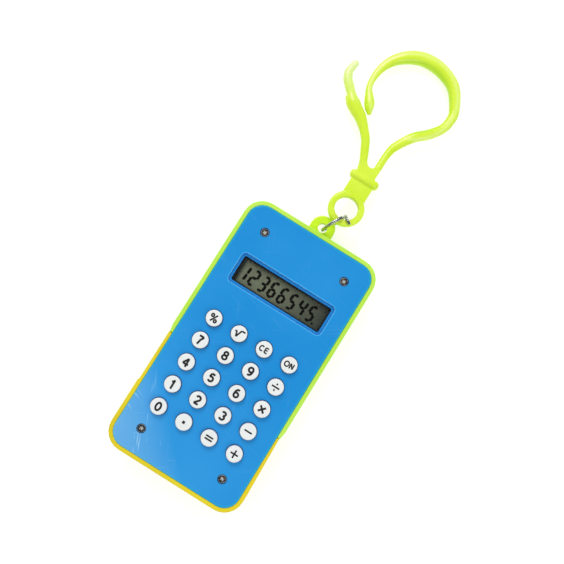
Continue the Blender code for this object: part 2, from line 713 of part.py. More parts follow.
def board_screw_places():
    """Every board screw's name and its place."""
    return {
        "high_left": (-BOARD_SCREW_X, BOARD_SCREW_HIGH_Y),
        "high_right": (BOARD_SCREW_X, BOARD_SCREW_HIGH_Y),
        "low_left": (-BOARD_SCREW_X, BOARD_SCREW_LOW_Y),
        "low_right": (BOARD_SCREW_X, BOARD_SCREW_LOW_Y),
    }


def strip_contact(name, path, finish):
    """A bent metal strip: its side view is (y, z) points of a closed outline."""
    part = prism(name, [[Vector(point) for point in path]], -CONTACT_WIDTH / 2, CONTACT_WIDTH / 2)
    turn = Matrix(((0, 0, 1, 0), (1, 0, 0, 0), (0, 1, 0, 0), (0, 0, 0, 1)))
    part.data.transform(turn)
    finish_part(part, name, finish)


def build_cell(steel, brass):
    """The button cell, with one contact below it and one above it."""
    top = CELL_BOTTOM + CELL_THICK
    cap = CELL_RADIUS - 2 * CELL_RIM
    profile = [(0.0, top), (cap, top), (cap, top - CELL_RIM), (CELL_RADIUS, top - CELL_RIM),
               (CELL_RADIUS, CELL_BOTTOM), (0.0, CELL_BOTTOM)]
    finish_part(turned("button_cell", profile, (0.0, CELL_Y)), "button_cell", steel)
    thick = CONTACT_THICK
    low = BACK_WALL + FIT_GAP
    high = BOARD_BOTTOM - FIT_GAP
    end_y = CELL_Y + CONTACT_REACH
    bend_y = CELL_Y - CELL_RADIUS - 2 * FIT_GAP - POCKET_WALL
    tail_y = bend_y - CONTACT_REACH
    strip_contact("positive_contact", [
        (tail_y, high), (tail_y, high - thick), (bend_y - thick, high - thick),
        (bend_y - thick, low), (end_y, low), (end_y, low + thick),
        (bend_y, low + thick), (bend_y, high),
    ], brass)
    over = top + FIT_GAP
    foot = BOARD_TOP + FIT_GAP
    leg_y = BOARD_TOP_Y - 4 * FIT_GAP
    strip_contact("negative_contact", [
        (leg_y, foot), (leg_y + thick, foot), (leg_y + thick, over),
        (end_y, over), (end_y, over + thick), (leg_y, over + thick),
    ], brass)


# ------------------------------------------------------------------- screws
def cross_outline(place, reach):
    """Four arms that narrow towards their ends, as a driver's cross does."""
    centre = Vector(place)
    inner = CROSS_WIDTH / 2
    tip = CROSS_TIP / 2
    points = []
    for quarter in range(4):
        turn = Matrix.Rotation(quarter * math.pi / 2, 2)
        for x, y in ((reach, -tip), (reach, tip), (inner, inner)):
            points.append(centre + turn @ Vector((x, y)))
    return points


def cross_screw(name, place, head_top, head_radius, head_height, shank_radius, length, finish):
    """A pan-head screw with a cross recess."""
    under = head_top - head_height
    tip = under - length
    profile = [(0.0, head_top), (head_radius - SLIM_GAP, head_top),
               (head_radius, head_top - SLIM_GAP), (head_radius, under), (shank_radius, under),
               (shank_radius, tip + shank_radius), (shank_radius / 2, tip), (0.0, tip)]
    screw = turned(name, profile, place, SMALL_STEPS)
    cross = prism("cross", [cross_outline(place, CROSS_SHARE * head_radius)],
                  head_top - CROSS_DEPTH, head_top + MM)
    cut(screw, cross, name + "_cross")
    finish_part(screw, name, finish)


def build_screws(dark_steel):
    for name, place in screw_places():
        cross_screw("case_screw_" + name, place, SCREW_HEAD_TOP, SCREW_HEAD_RADIUS,
                    SCREW_HEAD_HEIGHT, SCREW_SHANK_RADIUS, SCREW_LENGTH, dark_steel)
    head_top = BOARD_TOP + SLIM_GAP + BOARD_SCREW_HEAD_HEIGHT
    for name, place in board_screw_places().items():
        cross_screw("board_screw_" + name, place, head_top, BOARD_SCREW_HEAD_RADIUS,
                    BOARD_SCREW_HEAD_HEIGHT, BOARD_SCREW_SHANK_RADIUS,
                    BOARD_SCREW_LENGTH - 2 * SLIM_GAP, dark_steel)


# --------------------------------------------------------------- jump ring
def ring_pivot():
    """Place of the ring's wire inside the lug's hole; the ring swings about it."""
    return Vector((RING_START.x, LUG_HOLE_Y + RING_START.y, RING_CENTRE_Z))


def ring_path():
    """One open turn of wire, edge on from above, whose far end is bent aside."""
    out = Vector((math.sin(RING_TURN), math.cos(RING_TURN), 0.0))
    side = Vector((math.cos(RING_TURN), -math.sin(RING_TURN), 0.0))
    up = Vector((0.0, 0.0, 1.0))
    centre = ring_pivot() + out * RING_RADIUS
    path = []
    for degrees in range(RING_GAP_TURN, RING_LAST_TURN + 1, 10):
        turn = math.radians(degrees)
        path.append(centre + RING_RADIUS * (out * math.cos(turn) + up * math.sin(turn)))
    path += [centre + (out * along + up * lift + side * aside) * MM
             for along, lift, aside in RING_BEND]
    return path


def build_ring(bright_steel):
    path = ring_path()
    pivot = ring_pivot()
    ring = tube("jump_ring", path, [RING_WIRE_RADIUS] * len(path))
    ring.data.transform(Matrix.Translation(-pivot))
    finish_part(ring, "jump_ring", bright_steel)
    ring.location = pivot


# --------------------------------------------------------------- snap hook
def hook_frame():
    """Empty at the eye's centre, leaned so that the hook's far end touches down."""
    highest = max(LOOP_STATIONS, key=lambda station: station[1])
    drop = EYE_Z - FLOOR_GAP - ARM_FLATNESS * highest[2] * MM / 2
    lean = math.asin(drop / (highest[1] * MM))
    frame = bpy.data.objects.new("hook_frame", None)
    frame.location = (EYE_OFFSET.x, CASE_TOP_Y + EYE_OFFSET.y, EYE_Z)
    frame.rotation_euler.x = -lean
    collection.objects.link(frame)
    return frame


def eye_ring():
    """The eye: a rounded-rectangle section turned about the eye's axis."""
    middle = (EYE_RADIUS + EYE_HOLE_RADIUS) / 2
    section = rectangle(EYE_RADIUS - EYE_HOLE_RADIUS, EYE_THICK, EYE_ROUND, (middle, 0.0), 3)
    mesh = bpy.data.meshes.new("hook_body")
    count = len(section)
    edges = [((i + 1) % count, i) for i in range(count)]
    mesh.from_pydata([(p.x, 0.0, p.y) for p in section], edges, [])
    eye = bpy.data.objects.new("hook_body", mesh)
    collection.objects.link(eye)
    screw = eye.modifiers.new("turn", "SCREW")
    screw.axis = "Z"
    screw.steps = EYE_STEPS
    screw.render_steps = EYE_STEPS
    screw.use_merge_vertices = True
    screw.merge_threshold = 0.00001
    return eye


def neck_block():
    """The flat neck between the eye and the collar."""
    middle = (EYE_RADIUS + EYE_HOLE_RADIUS) / 2
    spread = math.asin(NECK_HALF_WIDTH / EYE_RADIUS)
    arc = [Vector((middle * math.sin(a), middle * math.cos(a)))
           for a in (spread * step / 6 for step in range(-6, 7))]
    outline = arc + [Vector((NECK_HALF_WIDTH, COLLAR_Y)), Vector((-NECK_HALF_WIDTH, COLLAR_Y))]
    return prism("neck", [outline], -NECK_THICK / 2, NECK_THICK / 2)


def collar_bead():
    """The raised bar across the neck."""
    half = COLLAR_HALF_WIDTH - COLLAR_RADIUS
    path = [Vector((x, COLLAR_Y, 0.0)) for x in (-half, 0.0, half)]
    radii = [COLLAR_RADIUS] * 3
    for share in (0.5, 0.85, 0.98):
        radius = COLLAR_RADIUS * math.sqrt(1 - share * share)
        for end, sign in ((0, -1), (len(path), 1)):
            reach = sign * (half + share * COLLAR_RADIUS)
            path.insert(end if sign < 0 else len(path), Vector((reach, COLLAR_Y, 0.0)))
            radii.insert(end if sign < 0 else len(radii), radius)
    bead = tube("collar", path, radii)
    bead.data.transform(Matrix.Scale(COLLAR_THICK / (2 * COLLAR_RADIUS), 4, (0.0, 0.0, 1.0)))
    return bead


def fork_block():
    """The web above the collar, from which the loop and the gate both start."""
    corners = [(FORK_FOOT.x, COLLAR_Y, 0.0), (FORK_FOOT.y, COLLAR_Y, 0.0)]
    corners += [(x * MM, y * MM, radius * MM) for x, y, radius in FORK_EDGE]
    return prism("fork", [rounded(corners, 4)], -FORK_THICK / 2, FORK_THICK / 2)


def gate_root_radius():
    return GATE_STATIONS[0][2] * MM / 2


def build_hook(lime):
    frame = hook_frame()
    body = eye_ring()
    join(body, neck_block(), "hook_neck")
    join(body, fork_block(), "hook_fork")
    join(body, collar_bead(), "hook_collar")
    join(body, arm("loop", LOOP_STATIONS), "hook_loop")
    seat = circle(gate_root_radius() + FIT_GAP, GATE_HINGE)
    cut(body, prism("seat", [seat], -FORK_THICK, FORK_THICK), "gate_seat")
    gate = arm("hook_gate", GATE_STATIONS)
    gate.data.transform(Matrix.Translation((-GATE_HINGE.x, -GATE_HINGE.y, 0.0)))
    gate.parent = frame
    gate.location = (GATE_HINGE.x, GATE_HINGE.y, 0.0)
    finish_part(gate, "hook_gate", lime)
    body.parent = frame
    for step in body.modifiers:
        if step.type == "BOOLEAN":
            step.object.parent = frame
    finish_part(body, "hook_body", lime)


def build():
    clear_scene()
    green = material("green_plastic", (0.52, 0.84, 0.09), 0.35)
    yellow = material("yellow_plastic", (0.78, 0.63, 0.03), 0.38)
    blue = material("blue_plastic", (0.02, 0.31, 0.75), 0.22)
    white = material("key_plastic", (0.80, 0.82, 0.82), 0.4)
    lime = material("lime_plastic", (0.62, 0.88, 0.06), 0.3)
    black = material("black_plastic", (0.02, 0.02, 0.02), 0.45)
    clear = material("clear_plastic", (0.85, 0.88, 0.88), 0.08, alpha=0.25)
    glass = material("display_glass", (0.12, 0.14, 0.09), 0.25)
    rubber = material("grey_rubber", (0.35, 0.36, 0.37), 0.7)
    laminate = material("board_laminate", (0.04, 0.20, 0.08), 0.5)
    resin = material("chip_resin", (0.01, 0.01, 0.01), 0.4)
    steel = material("cell_steel", (0.62, 0.62, 0.60), 0.3, 1.0)
    brass = material("contact_brass", (0.72, 0.58, 0.28), 0.35, 1.0)
    dark_steel = material("screw_steel", (0.16, 0.16, 0.17), 0.35, 1.0)
    bright_steel = material("ring_steel", (0.66, 0.66, 0.66), 0.18, 1.0)
    build_case(green, yellow)
    build_plate(blue)
    build_display(clear, black, glass, rubber)
    build_keys(white)
    build_mat(rubber)
    build_board(laminate, resin)
    build_cell(steel, brass)
    build_screws(dark_steel)
    build_ring(bright_steel)
    build_hook(lime)
    bpy.context.view_layer.update()


build()
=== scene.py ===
# %% [markdown]
# # A keychain calculator, piece by piece
#
# The real object is a pocket calculator that hangs from a bag: two coloured case halves, a glossy
# blue plate with twenty round keys, a small display, a wire ring and a springy plastic hook.
# The working design is loaded first as a fixed frame. Every visible piece is then modelled again
# with a finer surface, in the place that the frame gives, and gets a material made of nodes.

# %% Load the frame
import json
import math

import bmesh
import bpy
from mathutils import Euler, Matrix, Vector


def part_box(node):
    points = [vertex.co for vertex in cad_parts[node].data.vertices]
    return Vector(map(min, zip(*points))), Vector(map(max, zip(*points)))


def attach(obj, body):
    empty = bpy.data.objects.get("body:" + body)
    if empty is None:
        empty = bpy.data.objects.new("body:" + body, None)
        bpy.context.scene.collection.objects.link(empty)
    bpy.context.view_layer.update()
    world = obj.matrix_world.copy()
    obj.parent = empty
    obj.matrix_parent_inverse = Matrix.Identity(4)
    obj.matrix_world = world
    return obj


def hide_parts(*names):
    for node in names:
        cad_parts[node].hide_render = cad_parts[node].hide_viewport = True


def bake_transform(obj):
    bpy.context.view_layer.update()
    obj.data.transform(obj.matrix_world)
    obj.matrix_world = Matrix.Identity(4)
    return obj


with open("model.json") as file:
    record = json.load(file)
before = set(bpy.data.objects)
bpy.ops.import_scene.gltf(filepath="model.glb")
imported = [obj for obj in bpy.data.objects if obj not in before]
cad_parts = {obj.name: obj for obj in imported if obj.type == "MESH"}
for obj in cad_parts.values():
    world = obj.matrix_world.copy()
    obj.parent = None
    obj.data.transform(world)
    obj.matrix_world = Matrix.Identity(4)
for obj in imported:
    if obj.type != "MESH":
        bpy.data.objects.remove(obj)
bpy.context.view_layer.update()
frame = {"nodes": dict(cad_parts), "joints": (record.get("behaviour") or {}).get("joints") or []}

MM = 0.001

# %% [markdown]
# ## Camera
#
# The calculator lies on its back and is seen from almost straight above, a little from its lower
# end, and turned so that the hook points up and to the right. A camera a quarter of a metre away
# gives the strong perspective of a close view: the sides of the keys show on the far side of each.

# %% Place the camera
CAMERA_PLACE = Vector((2.56, 7.06, 255.44)) * MM
CAMERA_TURN = Euler((math.radians(4.47), math.radians(-1.55), math.radians(31.90)))
CAMERA_LENS = 47.3

bpy.ops.object.camera_add(location=CAMERA_PLACE, rotation=CAMERA_TURN)
camera = bpy.context.object
camera.data.lens = CAMERA_LENS
camera.data.sensor_width = 36.0
camera.data.clip_start = 0.01
camera.data.clip_end = 10.0
bpy.context.scene.camera = camera
print("camera height above the table:", round(camera.location.z / MM), "mm")

# %% [markdown]
# ## Table
#
# A product shot has a white table. This one glows a little by itself, which keeps it white although
# the light is dimmer than white paper alone would need. It lies just under the calculator's back.

# %% Lay the table
TABLE_SIZE = 2.4
TABLE_GAP = 0.1 * MM
PAPER_GREY = (0.55, 0.55, 0.55, 1.0)
PAPER_GLOW = 0.62
WHITE = (1.0, 1.0, 1.0, 1.0)

bpy.context.scene.view_settings.view_transform = "Standard"

bpy.ops.mesh.primitive_plane_add(size=TABLE_SIZE, location=(0.0, 0.0, -TABLE_GAP))
table = bpy.context.object
table.name = "table"
paper = bpy.data.materials.new("white_paper")
paper.use_nodes = True
paper_shader = paper.node_tree.nodes["Principled BSDF"]
paper_shader.inputs["Base Color"].default_value = PAPER_GREY
paper_shader.inputs["Emission Color"].default_value = WHITE
paper_shader.inputs["Emission Strength"].default_value = PAPER_GLOW
paper_shader.inputs["Roughness"].default_value = 0.9
paper_shader.inputs["Specular IOR Level"].default_value = 0.0
table.data.materials.append(paper)
print("table:", TABLE_SIZE, "m wide")

# %% [markdown]
# ## Sky and lamps
#
# The sky lights everything evenly, but glossy surfaces would mirror it as a grey veil over the blue
# plate, so a Light Path node shows them a darker sky. Two big soft lamps then give the long
# highlights on the hook and the keys.

# %% Light the stage
SKY_LIGHT = 0.62
SKY_IN_GLOSS = 0.25
SKY_TINT_IN_GLOSS = (0.95, 0.98, 1.0, 1.0)
# Each lamp's place, its size and its power in watts.
LAMPS = {
    "key_lamp": ((-0.42, 0.55, 0.62), 0.45, 3.9),
    "fill_lamp": ((0.55, -0.30, 0.60), 0.55, 1.8),
}
LAMP_TARGET = (0.0, 0.035, 0.0)

sky = bpy.data.worlds.new("studio_sky")
sky.use_nodes = True
bpy.context.scene.world = sky
sky_nodes = sky.node_tree.nodes
sky_links = sky.node_tree.links
bright = sky_nodes["Background"]
bright.inputs["Strength"].default_value = SKY_LIGHT
bright.inputs["Color"].default_value = WHITE
dim = sky_nodes.new("ShaderNodeBackground")
dim.inputs["Strength"].default_value = SKY_IN_GLOSS
dim.inputs["Color"].default_value = SKY_TINT_IN_GLOSS
ray = sky_nodes.new("ShaderNodeLightPath")
choice = sky_nodes.new("ShaderNodeMixShader")
sky_links.new(ray.outputs["Is Glossy Ray"], choice.inputs["Fac"])
sky_links.new(bright.outputs["Background"], choice.inputs[1])
sky_links.new(dim.outputs["Background"], choice.inputs[2])
sky_links.new(choice.outputs["Shader"], sky_nodes["World Output"].inputs["Surface"])


def soft_lamp(name, place, target, size, power):
    """A square area lamp that faces a target."""
    bpy.ops.object.light_add(type="AREA", location=place)
    lamp = bpy.context.object
    lamp.name = name
    lamp.rotation_euler = (Vector(target) - Vector(place)).to_track_quat("-Z", "Y").to_euler()
    lamp.data.size = size
    lamp.data.energy = power


for lamp_name, (lamp_place, lamp_size, lamp_power) in LAMPS.items():
    soft_lamp(lamp_name, lamp_place, LAMP_TARGET, lamp_size, lamp_power)

# %% [markdown]
# ## Helpers for modelling
#
# Modelling by script follows the same steps as by hand: add a primitive, go into edit mode,
# select some faces or edges, and run an operator on them. What the mouse would click is chosen
# here by a test on each face's or edge's place. A new piece ends with its object at the origin and
# its place in its mesh, as the frame's own nodes have it.

# %% Select and edit


def only(piece):
    """Make one object the only selected one and the active one."""
    bpy.ops.object.select_all(action="DESELECT")
    piece.select_set(True)
    bpy.context.view_layer.objects.active = piece


def settle(name):
    """Name the newest object and move its place, turn and size into its mesh."""
    piece = bpy.context.object
    only(piece)
    bpy.ops.object.transform_apply(location=True, rotation=True, scale=True)
    piece.name = name
    piece.data.name = name
    return piece


def edit(piece, kind):
    """Enter edit mode with nothing selected."""
    only(piece)
    bpy.ops.object.mode_set(mode="EDIT")
    bpy.ops.mesh.select_mode(type=kind)
    bpy.ops.mesh.select_all(action="DESELECT")


print("only, settle and edit are ready")

# %% [markdown]
# A test takes a face's middle and normal, or an edge's two ends, and says whether it is picked.
# Rounding a piece's upper rim comes up most often, so it has a function of its own.

# %% Pick faces and edges
NEAR = 0.01 * MM


def pick_faces(piece, test):
    """Select the faces whose middle and normal pass a test, and count them."""
    work = bmesh.from_edit_mesh(piece.data)
    for face in work.faces:
        face.select_set(test(face.calc_center_median(), face.normal))
    bmesh.update_edit_mesh(piece.data)
    return sum(face.select for face in work.faces)


def pick_edges(piece, test):
    """Select the edges whose two ends pass a test, and count them."""
    work = bmesh.from_edit_mesh(piece.data)
    for edge in work.edges:
        edge.select_set(test(edge.verts[0].co, edge.verts[1].co))
    bmesh.update_edit_mesh(piece.data)
    return sum(edge.select for edge in work.edges)


def leave(piece):
    """Leave edit mode."""
    bpy.ops.object.mode_set(mode="OBJECT")
    return piece


def round_top(piece, top, width, segments):
    """Bevel the edges that lie at a piece's top, and count them."""
    edit(piece, "EDGE")
    count = pick_edges(piece, lambda a, b: min(a.z, b.z) > top - NEAR)
    bpy.ops.mesh.bevel(offset=width, segments=segments, affect="EDGES")
    leave(piece)
    return count


def face_outwards(piece, weld):
    """Merge points closer than a distance and turn all faces outwards."""
    edit(piece, "VERT")
    bpy.ops.mesh.select_all(action="SELECT")
    bpy.ops.mesh.remove_doubles(threshold=weld)
    bpy.ops.mesh.normals_make_consistent(inside=False)
    return leave(piece)


print("lengths closer than", NEAR / MM, "mm count as equal")

# %% [markdown]
# Whole objects are cut, joined and copied next. A copy has its own mesh, so it can be moved in its
# mesh without moving the first one. Round surfaces are shaded smooth up to an angle, and weighted
# normals keep a big flat face looking flat beside its small bevels.

# %% Cut, join, copy and finish


def carve(piece, tool):
    """Cut a piece with a tool, and remove the tool."""
    only(piece)
    step = piece.modifiers.new("carve", "BOOLEAN")
    step.operation = "DIFFERENCE"
    step.solver = "EXACT"
    step.object = tool
    bpy.ops.object.modifier_apply(modifier=step.name)
    bpy.data.objects.remove(tool, do_unlink=True)


def merge(name, *pieces):
    """Join several objects into one."""
    bpy.ops.object.select_all(action="DESELECT")
    for piece in pieces:
        piece.select_set(True)
    bpy.context.view_layer.objects.active = pieces[0]
    bpy.ops.object.join()
    pieces[0].name = name
    return pieces[0]


def copy_of(piece, name, shift=(0.0, 0.0, 0.0)):
    """A copy with its own mesh, moved in its mesh."""
    twin = piece.copy()
    twin.data = piece.data.copy()
    twin.name = name
    twin.data.name = name
    twin.data.transform(Matrix.Translation(shift))
    bpy.context.collection.objects.link(twin)
    return twin


def smooth(piece, degrees=32):
    """Shade round surfaces smooth, and keep real edges crisp and flat faces flat."""
    only(piece)
    bpy.ops.object.shade_smooth_by_angle(angle=math.radians(degrees))
    weigh = piece.modifiers.new("weigh", "WEIGHTED_NORMAL")
    weigh.keep_sharp = True
    bpy.ops.object.modifier_apply(modifier=weigh.name)


def paint(piece, material):
    """Give a piece one material and no other."""
    piece.data.materials.clear()
    piece.data.materials.append(material)


def fit(piece, material, body, slot, *stands_for):
    """Give a finished piece its material and its body, and hide the frame nodes it stands for. The
    slot is not used.
    """
    paint(piece, material)
    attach(piece, body)
    if stands_for:
        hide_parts(*stands_for)


# %% [markdown]
# Two start shapes are used again and again: a block with rounded upright edges, and an upright
# cylinder between two heights. Both are primitives that are added at their size and place.

# %% Start shapes


def rounded_block(name, low, high, corner, segments):
    """A block whose four upright edges are rounded."""
    low, high = Vector(low), Vector(high)
    bpy.ops.mesh.primitive_cube_add(size=1.0, location=(low + high) / 2, scale=high - low)
    block = settle(name)
    if corner > 0:
        edit(block, "EDGE")
        pick_edges(block, lambda a, b: abs(a.z - b.z) > 0.9 * (high.z - low.z))
        bpy.ops.mesh.bevel(offset=corner, segments=segments, affect="EDGES")
        leave(block)
    return block


def disc(name, centre, radius, low, high, sides=64):
    """An upright cylinder between two heights."""
    bpy.ops.mesh.primitive_cylinder_add(
        vertices=sides, radius=radius, depth=high - low,
        location=(centre[0], centre[1], (low + high) / 2))
    return settle(name)


print("start shapes: block and disc")

# %% [markdown]
# ## Helpers for materials
#
# A material is a tree of nodes. Adding a node by script takes a line for the node, one for each
# setting and one for each link, so short functions take up these steps. Values that are the same
# all over a surface are set on the shader itself, and only changing ones are linked to it.

# %% Add and link nodes


def new_material(name, **sockets):
    """A material with its Principled shader's plain values set."""
    made = bpy.data.materials.new(name)
    made.use_nodes = True
    shader = made.node_tree.nodes["Principled BSDF"]
    for socket, value in sockets.items():
        shader.inputs[socket.replace("_", " ")].default_value = value
    return made


def node(tree, kind, inputs=None, **settings):
    """Add a node, set it up, and connect or set its inputs."""
    made = tree.nodes.new(kind)
    for name, value in settings.items():
        setattr(made, name, value)
    for key, value in (inputs or {}).items():
        if isinstance(value, bpy.types.NodeSocket):
            tree.links.new(value, made.inputs[key])
        else:
            made.inputs[key].default_value = value
    return made


def maths(tree, operation, first, second=0.0):
    """Work out one value from two."""
    return node(tree, "ShaderNodeMath", {0: first, 1: second}, operation=operation).outputs[0]


def ramp(tree, value, low, high, start=0.0, end=1.0):
    """Turn a value's stretch from low to high into start to end."""
    made = node(tree, "ShaderNodeMapRange", {"Value": value, "From Min": low, "From Max": high,
                                             "To Min": start, "To Max": end})
    return made.outputs["Result"]


def blend_colors(tree, share, first, second):
    """Mix the second colour into the first by a share."""
    made = node(tree, "ShaderNodeMix", data_type="RGBA")
    for index, value in ((0, share), (6, first), (7, second)):
        if isinstance(value, bpy.types.NodeSocket):
            tree.links.new(value, made.inputs[index])
        else:
            made.inputs[index].default_value = value
    return made.outputs[2]


print("shader sockets are written with _ for a space, as in Base_Color")

# %% [markdown]
# ## Three shared effects
#
# Several finishes here share three effects, so each is a node group that is built once. One gives
# the distance to a rounded rectangle, which places the tints that follow an edge. One draws the
# fine scratches of a glossy plate that has lived on a key ring. One is the faint grain of a mould.
# The groups put out only values, and each material decides what they change.

# %% Build the distance group


def new_group(name, inputs, outputs):
    """An empty shader group with its sockets and its two end nodes."""
    tree = bpy.data.node_groups.new(name, "ShaderNodeTree")
    for socket, kind in inputs:
        tree.interface.new_socket(socket, in_out="INPUT", socket_type=kind)
    for socket, kind in outputs:
        tree.interface.new_socket(socket, in_out="OUTPUT", socket_type=kind)
    return tree, tree.nodes.new("NodeGroupInput"), tree.nodes.new("NodeGroupOutput")


FLOAT = "NodeSocketFloat"
VECTOR = "NodeSocketVector"


def rounded_rectangle_group():
    """Distance to a rounded rectangle in millimetres, below zero inside it."""
    tree, given, result = new_group(
        "rounded_rectangle_distance",
        [("Place", VECTOR), ("Half Width", FLOAT), ("Half Length", FLOAT), ("Corner", FLOAT)],
        [("Distance", FLOAT)])
    parts = node(tree, "ShaderNodeSeparateXYZ", {0: given.outputs["Place"]})
    sides = []
    for axis, half in (("X", "Half Width"), ("Y", "Half Length")):
        reach = maths(tree, "ABSOLUTE", parts.outputs[axis])
        core = maths(tree, "SUBTRACT", given.outputs[half], given.outputs["Corner"])
        sides.append(maths(tree, "SUBTRACT", reach, core))
    outer = [maths(tree, "MAXIMUM", side, 0.0) for side in sides]
    squares = [maths(tree, "MULTIPLY", side, side) for side in outer]
    round_part = maths(tree, "SQRT", maths(tree, "ADD", squares[0], squares[1]))
    flat_part = maths(tree, "MINIMUM", maths(tree, "MAXIMUM", sides[0], sides[1]), 0.0)
    total = maths(tree, "ADD", round_part, flat_part)
    tree.links.new(maths(tree, "SUBTRACT", total, given.outputs["Corner"]),
                   result.inputs["Distance"])
    return tree


RECTANGLE = rounded_rectangle_group()
print("distance group:", len(RECTANGLE.nodes), "nodes")

# %% [markdown]
# Stretched noise gives threads, and a narrow ramp keeps only their crests, which look like fine
# scratches. Three directions are enough to look random, and a slow noise breaks the lines up.
# The grain is plain noise at two sizes: fine for the surface and slow for the tint.

# %% Build the scratches and the grain
SCRATCH_TURNS = ((0.45, 0.0), (1.25, 31.0), (2.2, 67.0))
SCRATCH_STRETCH = 20.0
SCRATCH_CREST = (0.65, 0.71)


def scratches_group():
    """A mask of thin scratches in three directions, broken up so that they start and stop."""
    tree, given, result = new_group(
        "fine_scratches", [("Place", VECTOR), ("Scale", FLOAT), ("Amount", FLOAT)],
        [("Mask", FLOAT)])
    lines = []
    for turn, seed in SCRATCH_TURNS:
        turned = node(tree, "ShaderNodeMapping", {
            "Vector": given.outputs["Place"], "Location": (seed, seed, 0.0),
            "Rotation": (0.0, 0.0, turn), "Scale": (1.0, SCRATCH_STRETCH, 1.0)},
                      vector_type="TEXTURE")
        threads = node(tree, "ShaderNodeTexNoise", {
            "Vector": turned.outputs[0], "Scale": given.outputs["Scale"],
            "Detail": 2.0, "Roughness": 0.6, "Distortion": 0.25})
        lines.append(ramp(tree, threads.outputs["Fac"], *SCRATCH_CREST))
    every = maths(tree, "MAXIMUM", maths(tree, "MAXIMUM", lines[0], lines[1]), lines[2])
    patches = node(tree, "ShaderNodeTexNoise", {"Vector": given.outputs["Place"], "Scale": 0.16,
                                                "Detail": 1.0})
    near = ramp(tree, patches.outputs["Fac"], 0.35, 0.6)
    mask = maths(tree, "MULTIPLY", maths(tree, "MULTIPLY", every, near), given.outputs["Amount"])
    tree.links.new(mask, result.inputs["Mask"])
    return tree


def grain_group():
    """Height of a mould's grain, and slow waves for small changes of tint."""
    tree, given, result = new_group(
        "mould_grain", [("Place", VECTOR), ("Grain Scale", FLOAT), ("Waves Scale", FLOAT)],
        [("Height", FLOAT), ("Waves", FLOAT)])
    grain = node(tree, "ShaderNodeTexNoise", {
        "Vector": given.outputs["Place"], "Scale": given.outputs["Grain Scale"], "Detail": 3.0})
    waves = node(tree, "ShaderNodeTexNoise", {
        "Vector": given.outputs["Place"], "Scale": given.outputs["Waves Scale"], "Detail": 2.0})
    tree.links.new(grain.outputs["Fac"], result.inputs["Height"])
    tree.links.new(waves.outputs["Fac"], result.inputs["Waves"])
    return tree


SCRATCHES = scratches_group()
GRAIN = grain_group()
print("groups:", [group.name for group in bpy.data.node_groups])

# %% [markdown]
# Patterns are placed in millimetres, counted from the middle of whatever they belong to. They read
# Object coordinates, so they stay on the piece when it moves.

# %% Place patterns and use groups


def place_mm(tree, centre=(0.0, 0.0)):
    """Object coordinates in millimetres, counted from a centre."""
    where = node(tree, "ShaderNodeTexCoord")
    scaled = node(tree, "ShaderNodeMapping", {
        "Vector": where.outputs["Object"], "Scale": (1 / MM, 1 / MM, 1 / MM),
        "Location": (-centre[0] / MM, -centre[1] / MM, 0.0)})
    return scaled.outputs[0]


def distance_from(tree, centre):
    """Distance in millimetres from an upright line through a centre."""
    flat = node(tree, "ShaderNodeVectorMath", {0: place_mm(tree, centre), 1: (1.0, 1.0, 0.0)},
                operation="MULTIPLY")
    away = node(tree, "ShaderNodeVectorMath", {0: flat.outputs[0]}, operation="LENGTH")
    return away.outputs["Value"]


def use_group(tree, group, inputs):
    """Place a node group in a material."""
    return node(tree, "ShaderNodeGroup", inputs, node_tree=group)


def bump(tree, height, strength, distance):
    """Turn a height into small changes of the surface's direction."""
    made = node(tree, "ShaderNodeBump", {"Height": height, "Strength": strength,
                                         "Distance": distance})
    return made.outputs["Normal"]


def connect(made, **sockets):
    """Connect values to a material's Principled shader."""
    shader = made.node_tree.nodes["Principled BSDF"]
    for socket, value in sockets.items():
        made.node_tree.links.new(value, shader.inputs[socket.replace("_", " ")])


print("patterns are placed in millimetres")

# %% [markdown]
# ## Moulded plastic
#
# Most finishes here are moulded plastics that differ only in tint, gloss and grain, so one function
# makes them all. Two close tints drift into each other, and the grain changes gloss and surface. A
# second function drifts a finished colour into another one along the piece.

# %% Make plastics


def moulded_plastic(name, light, dark, roughness, waves=0.06, grain=0.9, depth=0.03, **plain):
    """A moulded plastic: two close tints that drift into each other, and a fine grain."""
    made = new_material(name, **plain)
    tree = made.node_tree
    where = place_mm(tree)
    effect = use_group(tree, GRAIN, {"Place": where, "Grain Scale": grain, "Waves Scale": waves})
    share = ramp(tree, effect.outputs["Waves"], 0.35, 0.65)
    connect(made,
            Base_Color=blend_colors(tree, share, (*light, 1.0), (*dark, 1.0)),
            Roughness=ramp(tree, effect.outputs["Height"], 0.2, 0.8,
                           roughness - 0.04, roughness + 0.06),
            Normal=bump(tree, effect.outputs["Height"], 0.25, depth * MM))
    return made


def tint_along(made, axis, start, end, color):
    """Drift a material's colour into another one along an axis, in millimetres."""
    tree = made.node_tree
    socket = tree.nodes["Principled BSDF"].inputs["Base Color"]
    parts = node(tree, "ShaderNodeSeparateXYZ", {0: place_mm(tree)})
    share = ramp(tree, parts.outputs[axis], start, end)
    connect(made, Base_Color=blend_colors(tree, share, socket.links[0].from_socket, color))


print("moulded_plastic and tint_along are ready")

# %% [markdown]
# ## Front plate
#
# On the real object this is one moulded sheet of glossy blue plastic, 1.8 mm thick. It starts here
# as a block with rounded upright edges. A small bevel on the upper rim catches the light. The key
# holes, the window and the seats for the lens and the screws are then cut with plain tools, because
# a Boolean keeps every hole exactly where the frame has it.

